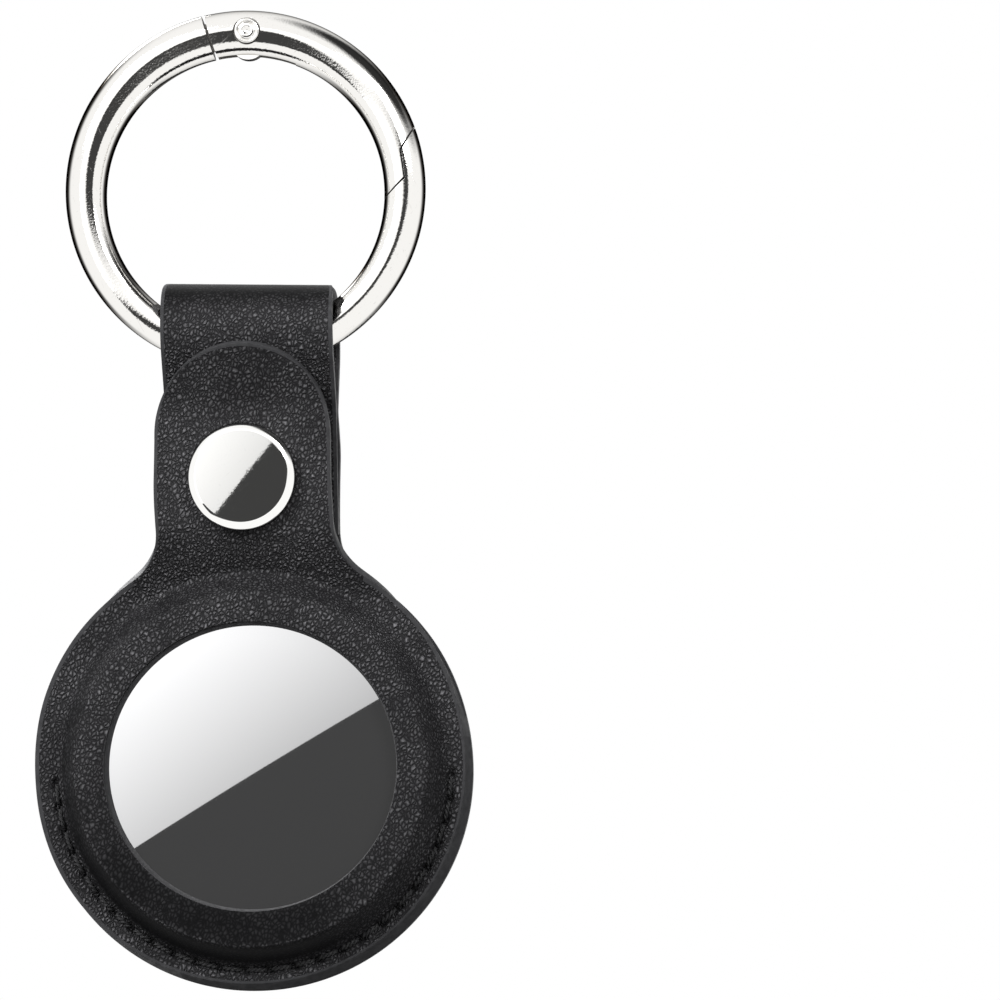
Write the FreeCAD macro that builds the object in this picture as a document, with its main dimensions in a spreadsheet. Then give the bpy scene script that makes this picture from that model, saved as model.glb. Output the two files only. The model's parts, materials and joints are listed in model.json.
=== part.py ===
"""Leather holder for a coin-shaped tracker tag, hanging from a sprung carrying ring.

The frame has its origin at the centre of the ring, +Z up, +X to the right and the front of the holder
towards -Y. The two panels of the pocket meet on the plane Y = 0, and "forward" is how far in front of it
something lies.
"""
import FreeCAD, Part
import math
import os
import re

import Sketcher

Vector = FreeCAD.Vector

# Driving dimensions in millimetres, angles in degrees and counts
SIZES = {
    # One overrun for every cut
    "cut_overrun": 1.0,
    # Carrying ring, thicker at the top because its bore lies lower than its outside
    "ring_outer_diameter": 35.3,
    "ring_wire": 4.05,
    "ring_bore_drop": 0.5,
    "ring_section_count": 16,
    # Hinge of the gate
    "gate_pin_offset": 0.57,
    "gate_pin_diameter": 1.6,
    "gate_pin_head_diameter": 2.45,
    "gate_pin_head_height": 0.45,
    "gate_pin_head_stand": 0.12,
    "gate_pin_dimple_diameter": 0.8,
    "gate_pin_dimple_depth": 0.15,
    "gate_pin_fit": 0.01,
    "gate_pin_running_fit": 0.05,
    "gate_pin_head_clearance": 0.03,
    "tongue_thickness": 1.4,
    "tongue_side_clearance": 0.08,
    "tongue_height": 2.7,
    "tongue_eye_diameter": 2.9,
    "tongue_root": 1.2,
    "tongue_lobe_diameter": 3.46,
    "tongue_lobe_drop": 0.9,
    "fork_roof_clearance": 0.12,
    "fork_length": 4.6,
    "gate_end_reach": 3.75,
    "gate_end_angle": 17,
    "gate_end_gap": 0.3,
    # Latch step of the gate, as angles round the ring
    "latch_lip_angle": 21.7,
    "latch_step_top_angle": 12.3,
    "latch_step_low_angle": 2.4,
    "latch_toe_angle": -11.5,
    "latch_gap": 0.14,
    # Closing spring in the fork
    "gate_spring_diameter": 1.16,
    "gate_spring_wire": 0.18,
    "gate_spring_turns": 4,
    "gate_spring_drop": 1.0,
    "gate_spring_seat_gap": 0.06,
    # Leather
    "leather_thickness": 1.3,
    "parting_gap": 0.05,
    "strap_width": 17.25,
    "strap_end_reach": 5.8,
    "strap_bend_radius": 4.0,
    "strap_flat_margin": 1.25,
    "eye_clearance": 0.4,
    "flange_width": 2.55,
    "neck_reach": 7.4,
    "neck_fillet": 5.6,
    "tab_width": 17.0,
    "tab_top_reach": 0.6,
    "tab_clearance": 0.15,
    "tab_bend_radius": 2.2,
    "tab_lean_radius": 6.0,
    "tab_flat_margin": 1.0,
    "window_lap": 0.45,
    "front_pocket_base_margin": 1.35,
    "front_pocket_top_inset": 0.1,
    "front_bulge_shoulder": 1.2,
    "back_pocket_base_margin": 1.1,
    "back_bulge_shoulder": 1.9,
    "pocket_clearance": 0.2,
    "flap_split_gap": 0.08,
    # Stitching round the lower half of the pocket
    "stitch_margin": 2.0,
    "stitch_thread_diameter": 0.45,
    "stitch_hole_clearance": 0.04,
    "stitch_count": 25,
    "stitch_arc_angle": 176,
    # Snap fastener
    "snap_reach": 13.87,
    "cap_diameter": 10.45,
    "cap_height": 1.6,
    "cap_dome_rise": 0.35,
    "cap_shoulder": 0.6,
    "cap_sheet": 0.35,
    "cap_rim_width": 1.3,
    "rivet_plate_thickness": 0.4,
    "rivet_plate_clearance": 0.1,
    "rivet_post_wall": 0.35,
    "rivet_flare_lap": 0.32,
    "rivet_flare_clearance": 0.08,
    "rivet_flare_height": 0.25,
    "rivet_hole_clearance": 0.06,
    "stud_flange_lap": 1.7,
    "stud_flange_thickness": 0.3,
    "stud_ball_diameter": 4.6,
    "stud_neck_inset": 0.35,
    "stud_ball_low_share": 0.35,
    "stud_ball_high_share": 0.65,
    "stud_wall": 0.25,
    "stud_top_clearance": 0.1,
    "snap_running_gap": 0.1,
    "socket_height": 1.6,
    "socket_plate_lap": 0.7,
    "socket_plate_thickness": 0.3,
    "socket_wall": 0.5,
    "socket_spring_room": 0.55,
    "socket_lip_thickness": 0.2,
    "socket_lip_clearance": 0.25,
    "socket_spring_wire": 0.3,
    "socket_spring_gap": 0.1,
    "socket_spring_seat_gap": 0.03,
    "socket_spring_angle": 330,
    # Tracker tag
    "tag_diameter": 32.0,
    "tag_thickness": 8.0,
    "tag_rim_back": 0.3,
    "tag_rim_front": 0.5,
    "tag_back_dome_rise": 0.8,
    "tag_back_dome_inset": 3.0,
    "tag_back_shoulder_radius": 4.2,
    "tag_front_shoulder_radius": 4.0,
    "tag_front_rim_level": 2.85,
    "housing_wall": 0.9,
    "housing_side_wall": 1.5,
    "housing_front_wall": 0.3,
    "cover_inset": 1.35,
    "cover_side_clearance": 0.1,
    "cover_dome_rise": 0.75,
    "cover_sheet": 0.45,
    "cover_edge": 0.5,
    "cover_skirt_inset": 1.35,
    "cover_skirt_wall": 0.45,
    "cover_lug_reach": 0.85,
    "cover_lug_thickness": 0.5,
    "cover_lug_angle": 24,
    "cover_lug_count": 3,
    "ledge_clearance": 0.2,
    "ledge_thickness": 0.5,
    "ledge_gap_angle": 34,
    "cover_twist_angle": 25,
    "lug_axial_clearance": 0.06,
    "gasket_thickness": 0.34,
    "gasket_width": 0.8,
    "gasket_gap": 0.03,
    "cell_diameter_share": 0.625,
    "cell_thickness": 3.2,
    "cell_sheet": 0.3,
    "cell_crimp": 0.7,
    "cell_can_lift": 0.3,
    "cell_gasket_width": 0.5,
    "cell_gap": 0.03,
    "cell_top_level": 2.95,
    "tray_floor": 0.55,
    "tray_wall": 0.6,
    "tray_wall_height": 1.9,
    "tray_clearance": 0.3,
    "contact_thickness": 0.2,
    "contact_gap": 0.02,
    "contact_inner_share": 0.2,
    "contact_outer_share": 0.5,
    "contact_angle": 36,
    "contact_height": 1.7,
    "contact_count": 2,
    "board_edge_inset": 0.2,
    "board_coil_clearance": 0.35,
    "board_thickness": 0.65,
    "board_gap": 0.02,
    "chip_length": 3.4,
    "chip_width": 2.6,
    "chip_height": 0.55,
    "chip_count": 4,
    "chip_start_angle": 20,
    "antenna_width": 1.9,
    "antenna_tray_clearance": 0.2,
    "antenna_side_clearance": 0.2,
    "antenna_height": 1.15,
    "magnet_diameter": 8.8,
    "magnet_height": 1.35,
    "coil_magnet_clearance": 0.25,
    "coil_wall": 0.45,
    "coil_height": 1.6,
    "coil_seat_gap": 0.12,
}

# Lengths that follow from the driving dimensions
DERIVED = {
    # Ring
    "ring_inner_diameter": "ring_outer_diameter - 2 * ring_wire",
    "ring_radius": "ring_outer_diameter / 2",
    "bore_radius": "ring_inner_diameter / 2",
    "ring_top_thickness": "ring_radius - bore_radius + ring_bore_drop",
    "ring_crest": "ring_top_thickness / 2",
    "step_radius": "(ring_radius + bore_radius) / 2",
    "pin_distance": "ring_radius - ring_crest",
    "pin_height": "sqrt(pin_distance^2 - gate_pin_offset^2)",
    "pin_face": "ring_crest + gate_pin_head_stand",
    "pin_seat": "pin_face - gate_pin_head_height",
    "zone_half_height": "ring_crest + cut_overrun",
    "zone_edge": "ring_radius + 2 * cut_overrun",
    "gate_end_lean": "tan(gate_end_angle) * zone_half_height",
    "fork_half_width": "tongue_thickness / 2 + tongue_side_clearance",
    "fork_roof_radius": "pin_distance + tongue_eye_diameter / 2 + fork_roof_clearance",
    # Strap and its eye round the ring
    "strap_half": "strap_width / 2",
    "wire_top_drop": "ring_bore_drop + sqrt(bore_radius^2 - strap_half^2)",
    "eye_drop": "(ring_radius + wire_top_drop) / 2",
    "eye_radius": "(ring_radius - wire_top_drop) / 2 + eye_clearance",
    "tab_top_drop": "eye_drop + tab_top_reach",
    "snap_drop": "eye_drop + snap_reach",
    "legs_meet_drop": "snap_drop - cap_diameter / 2 - strap_flat_margin",
    "strap_end_drop": "snap_drop + strap_end_reach",
    # Panels
    "front_bulge_base_diameter": "tag_diameter + 2 * (front_pocket_base_margin + leather_thickness)",
    "front_bulge_top_diameter": "tag_diameter - 2 * (front_pocket_top_inset - leather_thickness)",
    "back_bulge_base_diameter": "tag_diameter + 2 * (back_pocket_base_margin + leather_thickness)",
    "back_bulge_top_diameter": "tag_diameter + 2 * leather_thickness",
    "disc_diameter": "front_bulge_base_diameter + 2 * flange_width",
    "disc_radius": "disc_diameter / 2",
    "disc_drop": "snap_drop + neck_reach + disc_radius",
    "stitch_circle_diameter": "disc_diameter - 2 * stitch_margin",
    "window_diameter": "cover_diameter - 2 * window_lap",
    "tab_half": "tab_width / 2",
    "flange_front": "parting_gap + leather_thickness",
    "flange_back": "leather_thickness",
    "front_plateau_inside": "cover_edge_top + pocket_clearance",
    "front_plateau": "front_plateau_inside + leather_thickness",
    "back_plateau_inside": "tag_thickness / 2 + pocket_clearance",
    "back_plateau": "back_plateau_inside + leather_thickness",
    # Snap, as distances in front of the parting plane
    "leg_face": "parting_gap + leather_thickness",
    "stud_face": "leg_face + stud_flange_thickness",
    "socket_mouth": "stud_face + snap_running_gap",
    "tab_back": "socket_mouth + socket_height",
    "tab_front": "tab_back + leather_thickness",
    "tab_lean": "eye_radius + leather_thickness + tab_clearance",
    "socket_floor": "tab_back - socket_plate_thickness",
    "stud_top": "socket_floor - rivet_flare_height - stud_top_clearance",
    "socket_lip_top": "socket_mouth + socket_lip_thickness",
    "stud_neck_diameter": "stud_ball_diameter - 2 * stud_neck_inset",
    "stud_flange_diameter": "stud_ball_diameter + 2 * stud_flange_lap",
    "stud_hollow_diameter": "stud_neck_diameter - 2 * stud_wall",
    "socket_lip_diameter": "stud_ball_diameter + 2 * socket_lip_clearance",
    "socket_cavity_diameter": "socket_lip_diameter + 2 * socket_spring_room",
    "socket_body_diameter": "socket_cavity_diameter + 2 * socket_wall",
    "socket_plate_diameter": "socket_body_diameter + 2 * socket_plate_lap",
    "socket_spring_level": "socket_lip_top + socket_spring_wire / 2 + socket_spring_seat_gap",
    "socket_spring_radius": "stud_neck_diameter / 2 + socket_spring_gap + socket_spring_wire / 2",
    "stud_neck_top": "socket_spring_level + socket_spring_wire / 2",
    "rivet_flare_diameter": "stud_hollow_diameter - 2 * rivet_flare_clearance",
    "rivet_post_diameter": "rivet_flare_diameter - 2 * rivet_flare_lap",
    "rivet_bore_diameter": "rivet_post_diameter - 2 * rivet_post_wall",
    "rivet_hole_diameter": "rivet_post_diameter + 2 * rivet_hole_clearance",
    # Tag
    "tag_radius": "tag_diameter / 2",
    "tag_half": "tag_thickness / 2",
    "tag_back_dome_diameter": "tag_diameter - 2 * tag_back_dome_inset",
    "cover_diameter": "tag_diameter - 2 * cover_inset",
    "cover_skirt_diameter": "cover_diameter - 2 * cover_skirt_inset",
    "cover_edge_top": "tag_half - cover_dome_rise",
    "cover_seat": "cover_edge_top - cover_edge",
    "ledge_top": "cover_seat - gasket_thickness - 2 * gasket_gap",
    "ledge_low": "ledge_top - ledge_thickness",
    "ledge_diameter": "cover_skirt_diameter + 2 * ledge_clearance",
    "lug_top": "ledge_low - lug_axial_clearance",
    "lug_low": "lug_top - cover_lug_thickness",
    "lug_diameter": "cover_skirt_diameter + 2 * cover_lug_reach",
    "housing_bore": "tag_diameter - 2 * housing_side_wall",
    "housing_rim_diameter": "cover_diameter + 2 * cover_side_clearance",
    "housing_floor": "-tag_half + housing_wall",
    "housing_floor_edge": "housing_floor + tag_back_dome_rise",
    "antenna_outer_diameter": "housing_bore - 2 * antenna_side_clearance",
    "antenna_inner_diameter": "antenna_outer_diameter - 2 * antenna_width",
    "tray_diameter": "antenna_inner_diameter - 2 * antenna_tray_clearance",
    "cell_diameter": "tag_diameter * cell_diameter_share",
    "contact_inner_diameter": "cell_diameter * contact_inner_share",
    "contact_outer_diameter": "cell_diameter * contact_outer_share",
    "cell_low": "cell_top_level - cell_thickness",
    "tray_floor_top": "cell_low - contact_thickness - 2 * contact_gap",
    "tray_low": "tray_floor_top - tray_floor",
    "tray_bore": "cell_diameter + 2 * tray_clearance",
    "coil_inner_diameter": "magnet_diameter + 2 * coil_magnet_clearance",
    "coil_outer_diameter": "coil_inner_diameter + 2 * coil_wall",
    "board_outer_diameter": "tray_diameter - 2 * board_edge_inset",
    "board_inner_diameter": "coil_outer_diameter + 2 * board_coil_clearance",
    "board_top": "tray_low - board_gap",
    "board_low": "board_top - board_thickness",
    "antenna_low": "antenna_side_clearance - tag_rim_back",
    "coil_floor_rise": "tag_back_dome_rise * (coil_outer_diameter / tag_back_dome_diameter)^2",
    "coil_low": "housing_floor + coil_floor_rise + coil_seat_gap",
}

doc = FreeCAD.newDocument("tracker_tag_holder")
sheet = doc.addObject("Spreadsheet::Sheet", "Sizes")
for row, (alias, size) in enumerate(SIZES.items(), start=1):
    sheet.set(f"A{row}", alias)
    sheet.set(f"B{row}", str(size))
    sheet.setAlias(f"B{row}", alias)
doc.recompute()
reader = doc.addObject("App::FeaturePython", "Reader")

NODES = []


def expand(text):
    """An expression in plain size names, written out as the sheet's cells."""
    def written_out(match):
        name = match.group(0)
        if name in SIZES:
            return f"Sizes.{name}"
        if name in DERIVED:
            return f"({expand(DERIVED[name])})"
        return name
    return re.sub(r"[A-Za-z_]\w*", written_out, text)


def number(text):
    """The value that an expression of sizes has now."""
    return float(reader.evalExpression(expand(text)))


def bind(item, **properties):
    """Bind properties of a document object to expressions of sizes."""
    for name, text in properties.items():
        item.setExpression(name, expand(text))


def place(item, across="0", back="0", up="0", axis=Vector(1, 0, 0), angle=0):
    """Turn an object about an axis, then bind its place to expressions of sizes."""
    item.Placement = FreeCAD.Placement(Vector(), FreeCAD.Rotation(axis, angle))
    for letter, text in (("x", across), ("y", back), ("z", up)):
        item.setExpression(f"Placement.Base.{letter}", expand(text))


def node(item, label):
    """Give a finished sub-part the name of its node."""
    item.Label = label
    NODES.append(item)
    return item


def arc_between(first, second, radius, turn):
    """The short arc of a radius from one point to the next, turning left or right."""
    chord = second - first
    side = 1 if turn == "left" else -1
    toward = Vector(-chord.y, chord.x, 0).normalize() * side
    height = math.sqrt(max(radius ** 2 - (chord.Length / 2) ** 2, 0))
    centre = (first + second) / 2 + toward * height
    start, end = (first, second) if turn == "left" else (second, first)
    start_angle = math.atan2(start.y - centre.y, start.x - centre.x)
    end_angle = math.atan2(end.y - centre.y, end.x - centre.x)
    return Part.ArcOfCircle(Part.Circle(centre, Vector(0, 0, 1), radius), start_angle, end_angle)


def draw_outline(sketch, corners):
    """Draw a closed outline in a sketch and bind every corner and radius to sizes.

    A corner is (across, up), or (across, up, turn, radius) where an arc leaves it.
    """
    points = [Vector(number(corner[0]), number(corner[1]), 0) for corner in corners]
    starts, ends = [], []
    for index, corner in enumerate(corners):
        first, second = points[index], points[(index + 1) % len(points)]
        if len(corner) == 2:
            edge = sketch.addGeometry(Part.LineSegment(first, second), False)
            starts.append((edge, 1))
            ends.append((edge, 2))
            continue
        turn, radius = corner[2], corner[3]
        edge = sketch.addGeometry(arc_between(first, second, number(radius), turn), False)
        starts.append((edge, 1 if turn == "left" else 2))
        ends.append((edge, 2 if turn == "left" else 1))
    for index in range(len(corners)):
        sketch.addConstraint(Sketcher.Constraint("Coincident", *ends[index - 1], *starts[index]))
    for corner, point, start in zip(corners, points, starts):
        for kind, zero_axis, text, value in (("DistanceX", -2, corner[0], point.x),
                                             ("DistanceY", -1, corner[1], point.y)):
            if text == "0":
                sketch.addConstraint(Sketcher.Constraint("PointOnObject", *start, zero_axis))
                continue
            held = sketch.addConstraint(Sketcher.Constraint(kind, -1, 1, *start, value))
            sketch.setExpression(f"Constraints[{held}]", expand(text))
        if len(corner) == 4:
            held = sketch.addConstraint(Sketcher.Constraint("Radius", start[0], number(corner[3])))
            sketch.setExpression(f"Constraints[{held}]", expand(corner[3]))


def turned(name, corners, across="0", up="0"):
    """A body turned about an axis that points forward, from corners of (radius, forward)."""
    body = doc.addObject("PartDesign::Body", name)
    sketch = body.newObject("Sketcher::SketchObject", name + "_profile")
    plane = [item for item in body.Origin.OriginFeatures if item.Role == "XZ_Plane"][0]
    sketch.AttachmentSupport = [(plane, "")]
    sketch.MapMode = "FlatFace"
    draw_outline(sketch, corners)
    turning = body.newObject("PartDesign::Revolution", name + "_turning")
    turning.Profile = sketch
    turning.ReferenceAxis = (sketch, ["V_Axis"])
    turning.Angle = 360
    place(body, across=across, up=up, angle=90)
    return body


def slab(name, corners, forward, back, up="0"):
    """A flat outline in the plane of the ring, as thick as from a back level to a forward level."""
    sketch = doc.addObject("Sketcher::SketchObject", name + "_outline")
    place(sketch, up=up, angle=90)
    draw_outline(sketch, corners)
    solid = doc.addObject("Part::Extrusion", name)
    solid.Base = sketch
    solid.DirMode = "Normal"
    solid.Solid = True
    bind(solid, LengthFwd=forward, LengthRev=f"-({back})")
    return solid


def rod(name, diameter, back, forward, across="0", up="0"):
    """A round bar along Y between two forward levels."""
    solid = doc.addObject("Part::Cylinder", name)
    bind(solid, Radius=f"({diameter}) / 2", Height=f"({forward}) - ({back})")
    place(solid, across=across, back=f"-({back})", up=up, angle=90)
    return solid


def block(name, left, right, back, forward, low, high):
    """A box between levels in X, forward and Z."""
    solid = doc.addObject("Part::Box", name)
    bind(solid, Length=f"({right}) - ({left})", Width=f"({forward}) - ({back})", Height=f"({high}) - ({low})")
    place(solid, across=left, back=f"-({forward})", up=low)
    return solid


def joined(name, *solids):
    """Several solids fused into one."""
    solid = doc.addObject("Part::MultiFuse", name)
    solid.Shapes = list(solids)
    solid.Refine = True
    return solid


def shared(name, *solids):
    """What several solids have in common."""
    solid = doc.addObject("Part::MultiCommon", name)
    solid.Shapes = list(solids)
    solid.Refine = True
    return solid


def less(name, base, *tools):
    """A solid with others cut out of it."""
    tool = tools[0] if len(tools) == 1 else joined(name + "_cutters", *tools)
    solid = doc.addObject("Part::Cut", name)
    solid.Base = base
    solid.Tool = tool
    solid.Refine = True
    return solid


def plain(name, shape):
    """A sub-part whose shape is worked out from the sizes directly."""
    solid = doc.addObject("Part::Feature", name)
    solid.Shape = shape
    return solid


# Carrying ring
def ring_stock():
    """The whole ring, lofted through round sections whose thickness follows the lowered bore."""
    count = round(number("ring_section_count"))
    sections = []
    for index in range(count):
        turn = 360 * index / count
        inner = f"(ring_bore_drop * cos({turn}) + sqrt(bore_radius^2 - (ring_bore_drop * sin({turn}))^2))"
        centre = f"(ring_radius + {inner}) / 2"
        section = doc.addObject("Part::Circle", f"ring_section_{index}")
        bind(section, Radius=f"(ring_radius - {inner}) / 2")
        place(section, across=f"{centre} * sin({turn})", up=f"-{centre} * cos({turn})",
              axis=Vector(0, 1, 0), angle=90 - turn)
        sections.append(section)
    stock = doc.addObject("Part::Loft", "ring_stock")
    stock.Sections = sections
    stock.Solid = True
    stock.Closed = True
    return stock


def gate_zone(name, end_gap, latch_gap):
    """The part of the ring's plane that the gate takes up, grown by the gaps at its two ends."""
    def polar(radius, angle):
        grown = f"({angle} - {latch_gap} / step_radius * 180 / pi)"
        return f"({radius}) * cos({grown})", f"({radius}) * sin({grown})"
    toe = polar("bore_radius - cut_overrun", "latch_toe_angle")
    lip = polar("ring_radius + cut_overrun", "latch_lip_angle")
    end = f"gate_pin_offset - gate_end_reach - {end_gap}"
    corners = [
        toe,
        polar(f"step_radius + {latch_gap}", "latch_step_low_angle"),
        polar(f"step_radius + {latch_gap}", "latch_step_top_angle"),
        lip,
        ("zone_edge", lip[1]),
        ("zone_edge", "zone_edge"),
        (f"{end} - gate_end_lean", "zone_edge"),
        (f"{end} - gate_end_lean", "pin_height + zone_half_height"),
        (f"{end} + gate_end_lean", "pin_height - zone_half_height"),
    ]
    return slab(name, corners, "zone_half_height", "-zone_half_height")


def ring_body(stock):
    """The cast body: the open ring, the flat tongue and the eye with its lobe that bears on the spring."""
    open_ring = less("open_ring", stock, gate_zone("gate_room", "gate_end_gap", "latch_gap"))
    strip_torus = doc.addObject("Part::Torus", "tongue_torus")
    bind(strip_torus, Radius1="pin_distance", Radius2="tongue_height / 2")
    place(strip_torus, angle=90)
    half = "tongue_thickness / 2"
    strip_room = block("tongue_room", "gate_pin_offset - gate_end_reach - gate_end_gap - tongue_root",
                       "gate_pin_offset", f"-{half}", half,
                       "pin_height - zone_half_height", "pin_height + zone_half_height")
    strip = shared("tongue_strip", strip_torus, strip_room)
    eye = rod("tongue_eye", "tongue_eye_diameter", f"-{half}", half, "gate_pin_offset", "pin_height")
    lobe = rod("tongue_lobe", "tongue_lobe_diameter", f"-{half}", half,
               "gate_pin_offset", "pin_height - tongue_lobe_drop")
    bore = rod("tongue_bore", "gate_pin_diameter + 2 * gate_pin_running_fit", "-ring_crest", "ring_crest",
               "gate_pin_offset", "pin_height")
    tongue = less("tongue", joined("tongue_stock", strip, eye, lobe), bore)
    return node(joined("ring_body_solid", open_ring, tongue), "ring_body")


def ring_gate(stock):
    """The gate: its share of the ring, with the fork slot and the seats of the pivot pin."""
    stub = shared("gate_stub", stock, gate_zone("gate_space", "0", "0"))
    fork_room = block("fork_room", "gate_pin_offset - gate_end_reach - gate_end_lean - cut_overrun",
                      "gate_pin_offset + fork_length", "-fork_half_width", "fork_half_width",
                      "pin_height - zone_half_height - cut_overrun", "pin_height + zone_half_height")
    fork_roof = rod("fork_roof", "2 * fork_roof_radius", "-zone_half_height", "zone_half_height")
    fork = shared("fork_slot", fork_room, fork_roof)
    hole = rod("gate_pin_hole", "gate_pin_diameter + 2 * gate_pin_fit", "-zone_half_height",
               "zone_half_height", "gate_pin_offset", "pin_height")
    seat_diameter = "gate_pin_head_diameter + 2 * gate_pin_head_clearance"
    seat = "pin_seat - gate_pin_fit"
    front_seat = rod("gate_front_seat", seat_diameter, seat, "zone_half_height",
                     "gate_pin_offset", "pin_height")
    back_seat = rod("gate_back_seat", seat_diameter, "-zone_half_height", f"-({seat})",
                    "gate_pin_offset", "pin_height")
    return node(less("ring_gate_solid", stub, fork, hole, front_seat, back_seat), "ring_gate")


def gate_pivot_pin():
    """The riveted pin: a flat dimpled head in front and a plain head behind."""
    head = "gate_pin_head_diameter / 2"
    shank = "gate_pin_diameter / 2"
    pin = turned("gate_pivot_pin_body", [
        ("0", "-pin_face"),
        (head, "-pin_face"),
        (head, "-pin_seat"),
        (shank, "-pin_seat"),
        (shank, "pin_seat"),
        (head, "pin_seat"),
        (head, "pin_face"),
        ("gate_pin_dimple_diameter / 2", "pin_face"),
        ("0", "pin_face - gate_pin_dimple_depth"),
    ], "gate_pin_offset", "pin_height")
    return node(pin, "gate_pivot_pin")


def biarc(start, start_way, end, end_way):
    """Two arcs in space that leave one point and reach another along given directions."""
    gap = end - start
    ways = start_way + end_way
    spread = 2 * (1 - start_way.dot(end_way))
    length = (-gap.dot(ways) + math.sqrt(gap.dot(ways) ** 2 + spread * gap.dot(gap))) / spread
    middle = (start + end + (start_way - end_way) * length) / 2
    edges = []
    for first, second, corner in ((start, middle, start + start_way * length),
                                  (middle, end, end - end_way * length)):
        bisector = ((first - corner).normalize() + (second - corner).normalize()).normalize()
        half_angle = (first - corner).getAngle(bisector)
        radius = length * math.tan(half_angle)
        top = corner + bisector * (length / math.cos(half_angle) - radius)
        edges.append(Part.Arc(first, top, second).toShape())
    return edges


def gate_spring():
    """The closing spring, one unbroken wire wound on a line along X beside the tongue's lobe."""
    wire = number("gate_spring_wire")
    radius = (number("gate_spring_diameter") - wire) / 2
    turns = number("gate_spring_turns")
    lobe_side = math.sqrt(number("tongue_lobe_diameter / 2") ** 2
                          - number("gate_spring_drop - tongue_lobe_drop") ** 2)
    seat_gap = number("gate_spring_seat_gap")
    first = number("gate_pin_offset") + lobe_side + seat_gap + wire
    last = number("gate_pin_offset + fork_length") - seat_gap - wire
    up = number("pin_height - gate_spring_drop")
    pitch = (last - first) / turns
    quarters = round(turns * 4)
    slope = math.atan2(pitch, 2 * math.pi * radius)

    def point(angle):
        along = first + pitch * angle / (2 * math.pi)
        return Vector(along, radius * math.cos(angle), up + radius * math.sin(angle))

    def way(angle):
        flat = Vector(0, -math.sin(angle), math.cos(angle)) * math.cos(slope)
        return flat + Vector(math.sin(slope), 0, 0)

    edges = []
    for quarter in range(quarters):
        start, end = quarter * math.pi / 2, (quarter + 1) * math.pi / 2
        edges += biarc(point(start), way(start), point(end), way(end))
    path = Part.Wire(edges)
    section = Part.Wire(Part.makeCircle(wire / 2, point(0), way(0)))
    print("gate spring gap between turns", round(pitch * math.cos(slope) - wire, 3))
    return node(plain("gate_spring_wire_solid", path.makePipeShell([section], True, False)), "gate_spring")


# Leather
def rounded_path(points, radii):
    """Straight runs in the YZ plane, with their corners rounded by tangent arcs, as edges in order."""
    edges = []
    here = points[0]
    for index in range(1, len(points) - 1):
        corner, radius = points[index], radii[index - 1]
        back_way = (points[index - 1] - corner).normalize()
        on_way = (points[index + 1] - corner).normalize()
        half_angle = back_way.getAngle(on_way) / 2
        reach = radius / math.tan(half_angle)
        bisector = (back_way + on_way).normalize()
        top = corner + bisector * (radius / math.sin(half_angle) - radius)
        first, last = corner + back_way * reach, corner + on_way * reach
        edges.append(Part.LineSegment(here, first).toShape())
        edges.append(Part.Arc(first, top, last).toShape())
        here = last
    edges.append(Part.LineSegment(here, points[-1]).toShape())
    return edges


def beside(edge, distance):
    """The run or arc that lies at a distance to one side of another in the YZ plane."""
    points = []
    for share in (0, 0.5, 1):
        spot = edge.FirstParameter + share * (edge.LastParameter - edge.FirstParameter)
        aside = Vector(1, 0, 0).cross(edge.tangentAt(spot)) * distance
        points.append(edge.valueAt(spot) + aside)
    if isinstance(edge.Curve, Part.Circle):
        return Part.Arc(*points).toShape()
    return Part.LineSegment(points[0], points[2]).toShape()


def bent_sheet(name, edges, outward):
    """A sheet of leather as wide as the disc, laid on one side of a path in the YZ plane."""
    thickness = number("leather_thickness") * outward
    half = number("disc_diameter / 2 + cut_overrun")
    far_edges = [beside(edge, thickness) for edge in edges]
    ends = []
    for edge, far_edge, last in ((edges[0], far_edges[0], False), (edges[-1], far_edges[-1], True)):
        here = edge.LastParameter if last else edge.FirstParameter
        there = far_edge.LastParameter if last else far_edge.FirstParameter
        ends.append(Part.LineSegment(edge.valueAt(here), far_edge.valueAt(there)).toShape())
    border = Part.__sortEdges__(edges + far_edges + ends)
    face = Part.Face(Part.Wire(border))
    face.translate(Vector(-half, 0, 0))
    return plain(name, face.extrude(Vector(2 * half, 0, 0)))


def strap_path():
    """The inner side of the back leather: up the back, round the eye and down the folded leg."""
    gap = number("parting_gap")
    eye_up, radius = -number("eye_drop"), number("eye_radius")
    meet_up = -number("legs_meet_drop")
    rise = eye_up - meet_up
    lean = math.asin(radius / rise)
    run = math.sqrt(rise ** 2 - radius ** 2)
    back_touch = Vector(0, run * math.sin(lean), meet_up + run * math.cos(lean))
    front_touch = Vector(0, -back_touch.y, back_touch.z)
    top = Vector(0, 0, eye_up + radius)
    bend = number("strap_bend_radius")
    bottom = Vector(0, 0, -number("disc_drop + disc_radius + cut_overrun"))
    leg_end = Vector(0, -gap, -number("strap_end_drop"))
    leg_way = (front_touch - Vector(0, 0, meet_up)).normalize()
    leg_meet = Vector(0, -gap, meet_up) + Vector(0, 0, 1) * (gap * leg_way.z / abs(leg_way.y))
    back_leg = rounded_path([bottom, Vector(0, 0, meet_up), back_touch], [bend])
    front_leg = rounded_path([front_touch, leg_meet, leg_end], [bend])
    loop = Part.Arc(back_touch, top, front_touch).toShape()
    return back_leg + [loop] + front_leg


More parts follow.
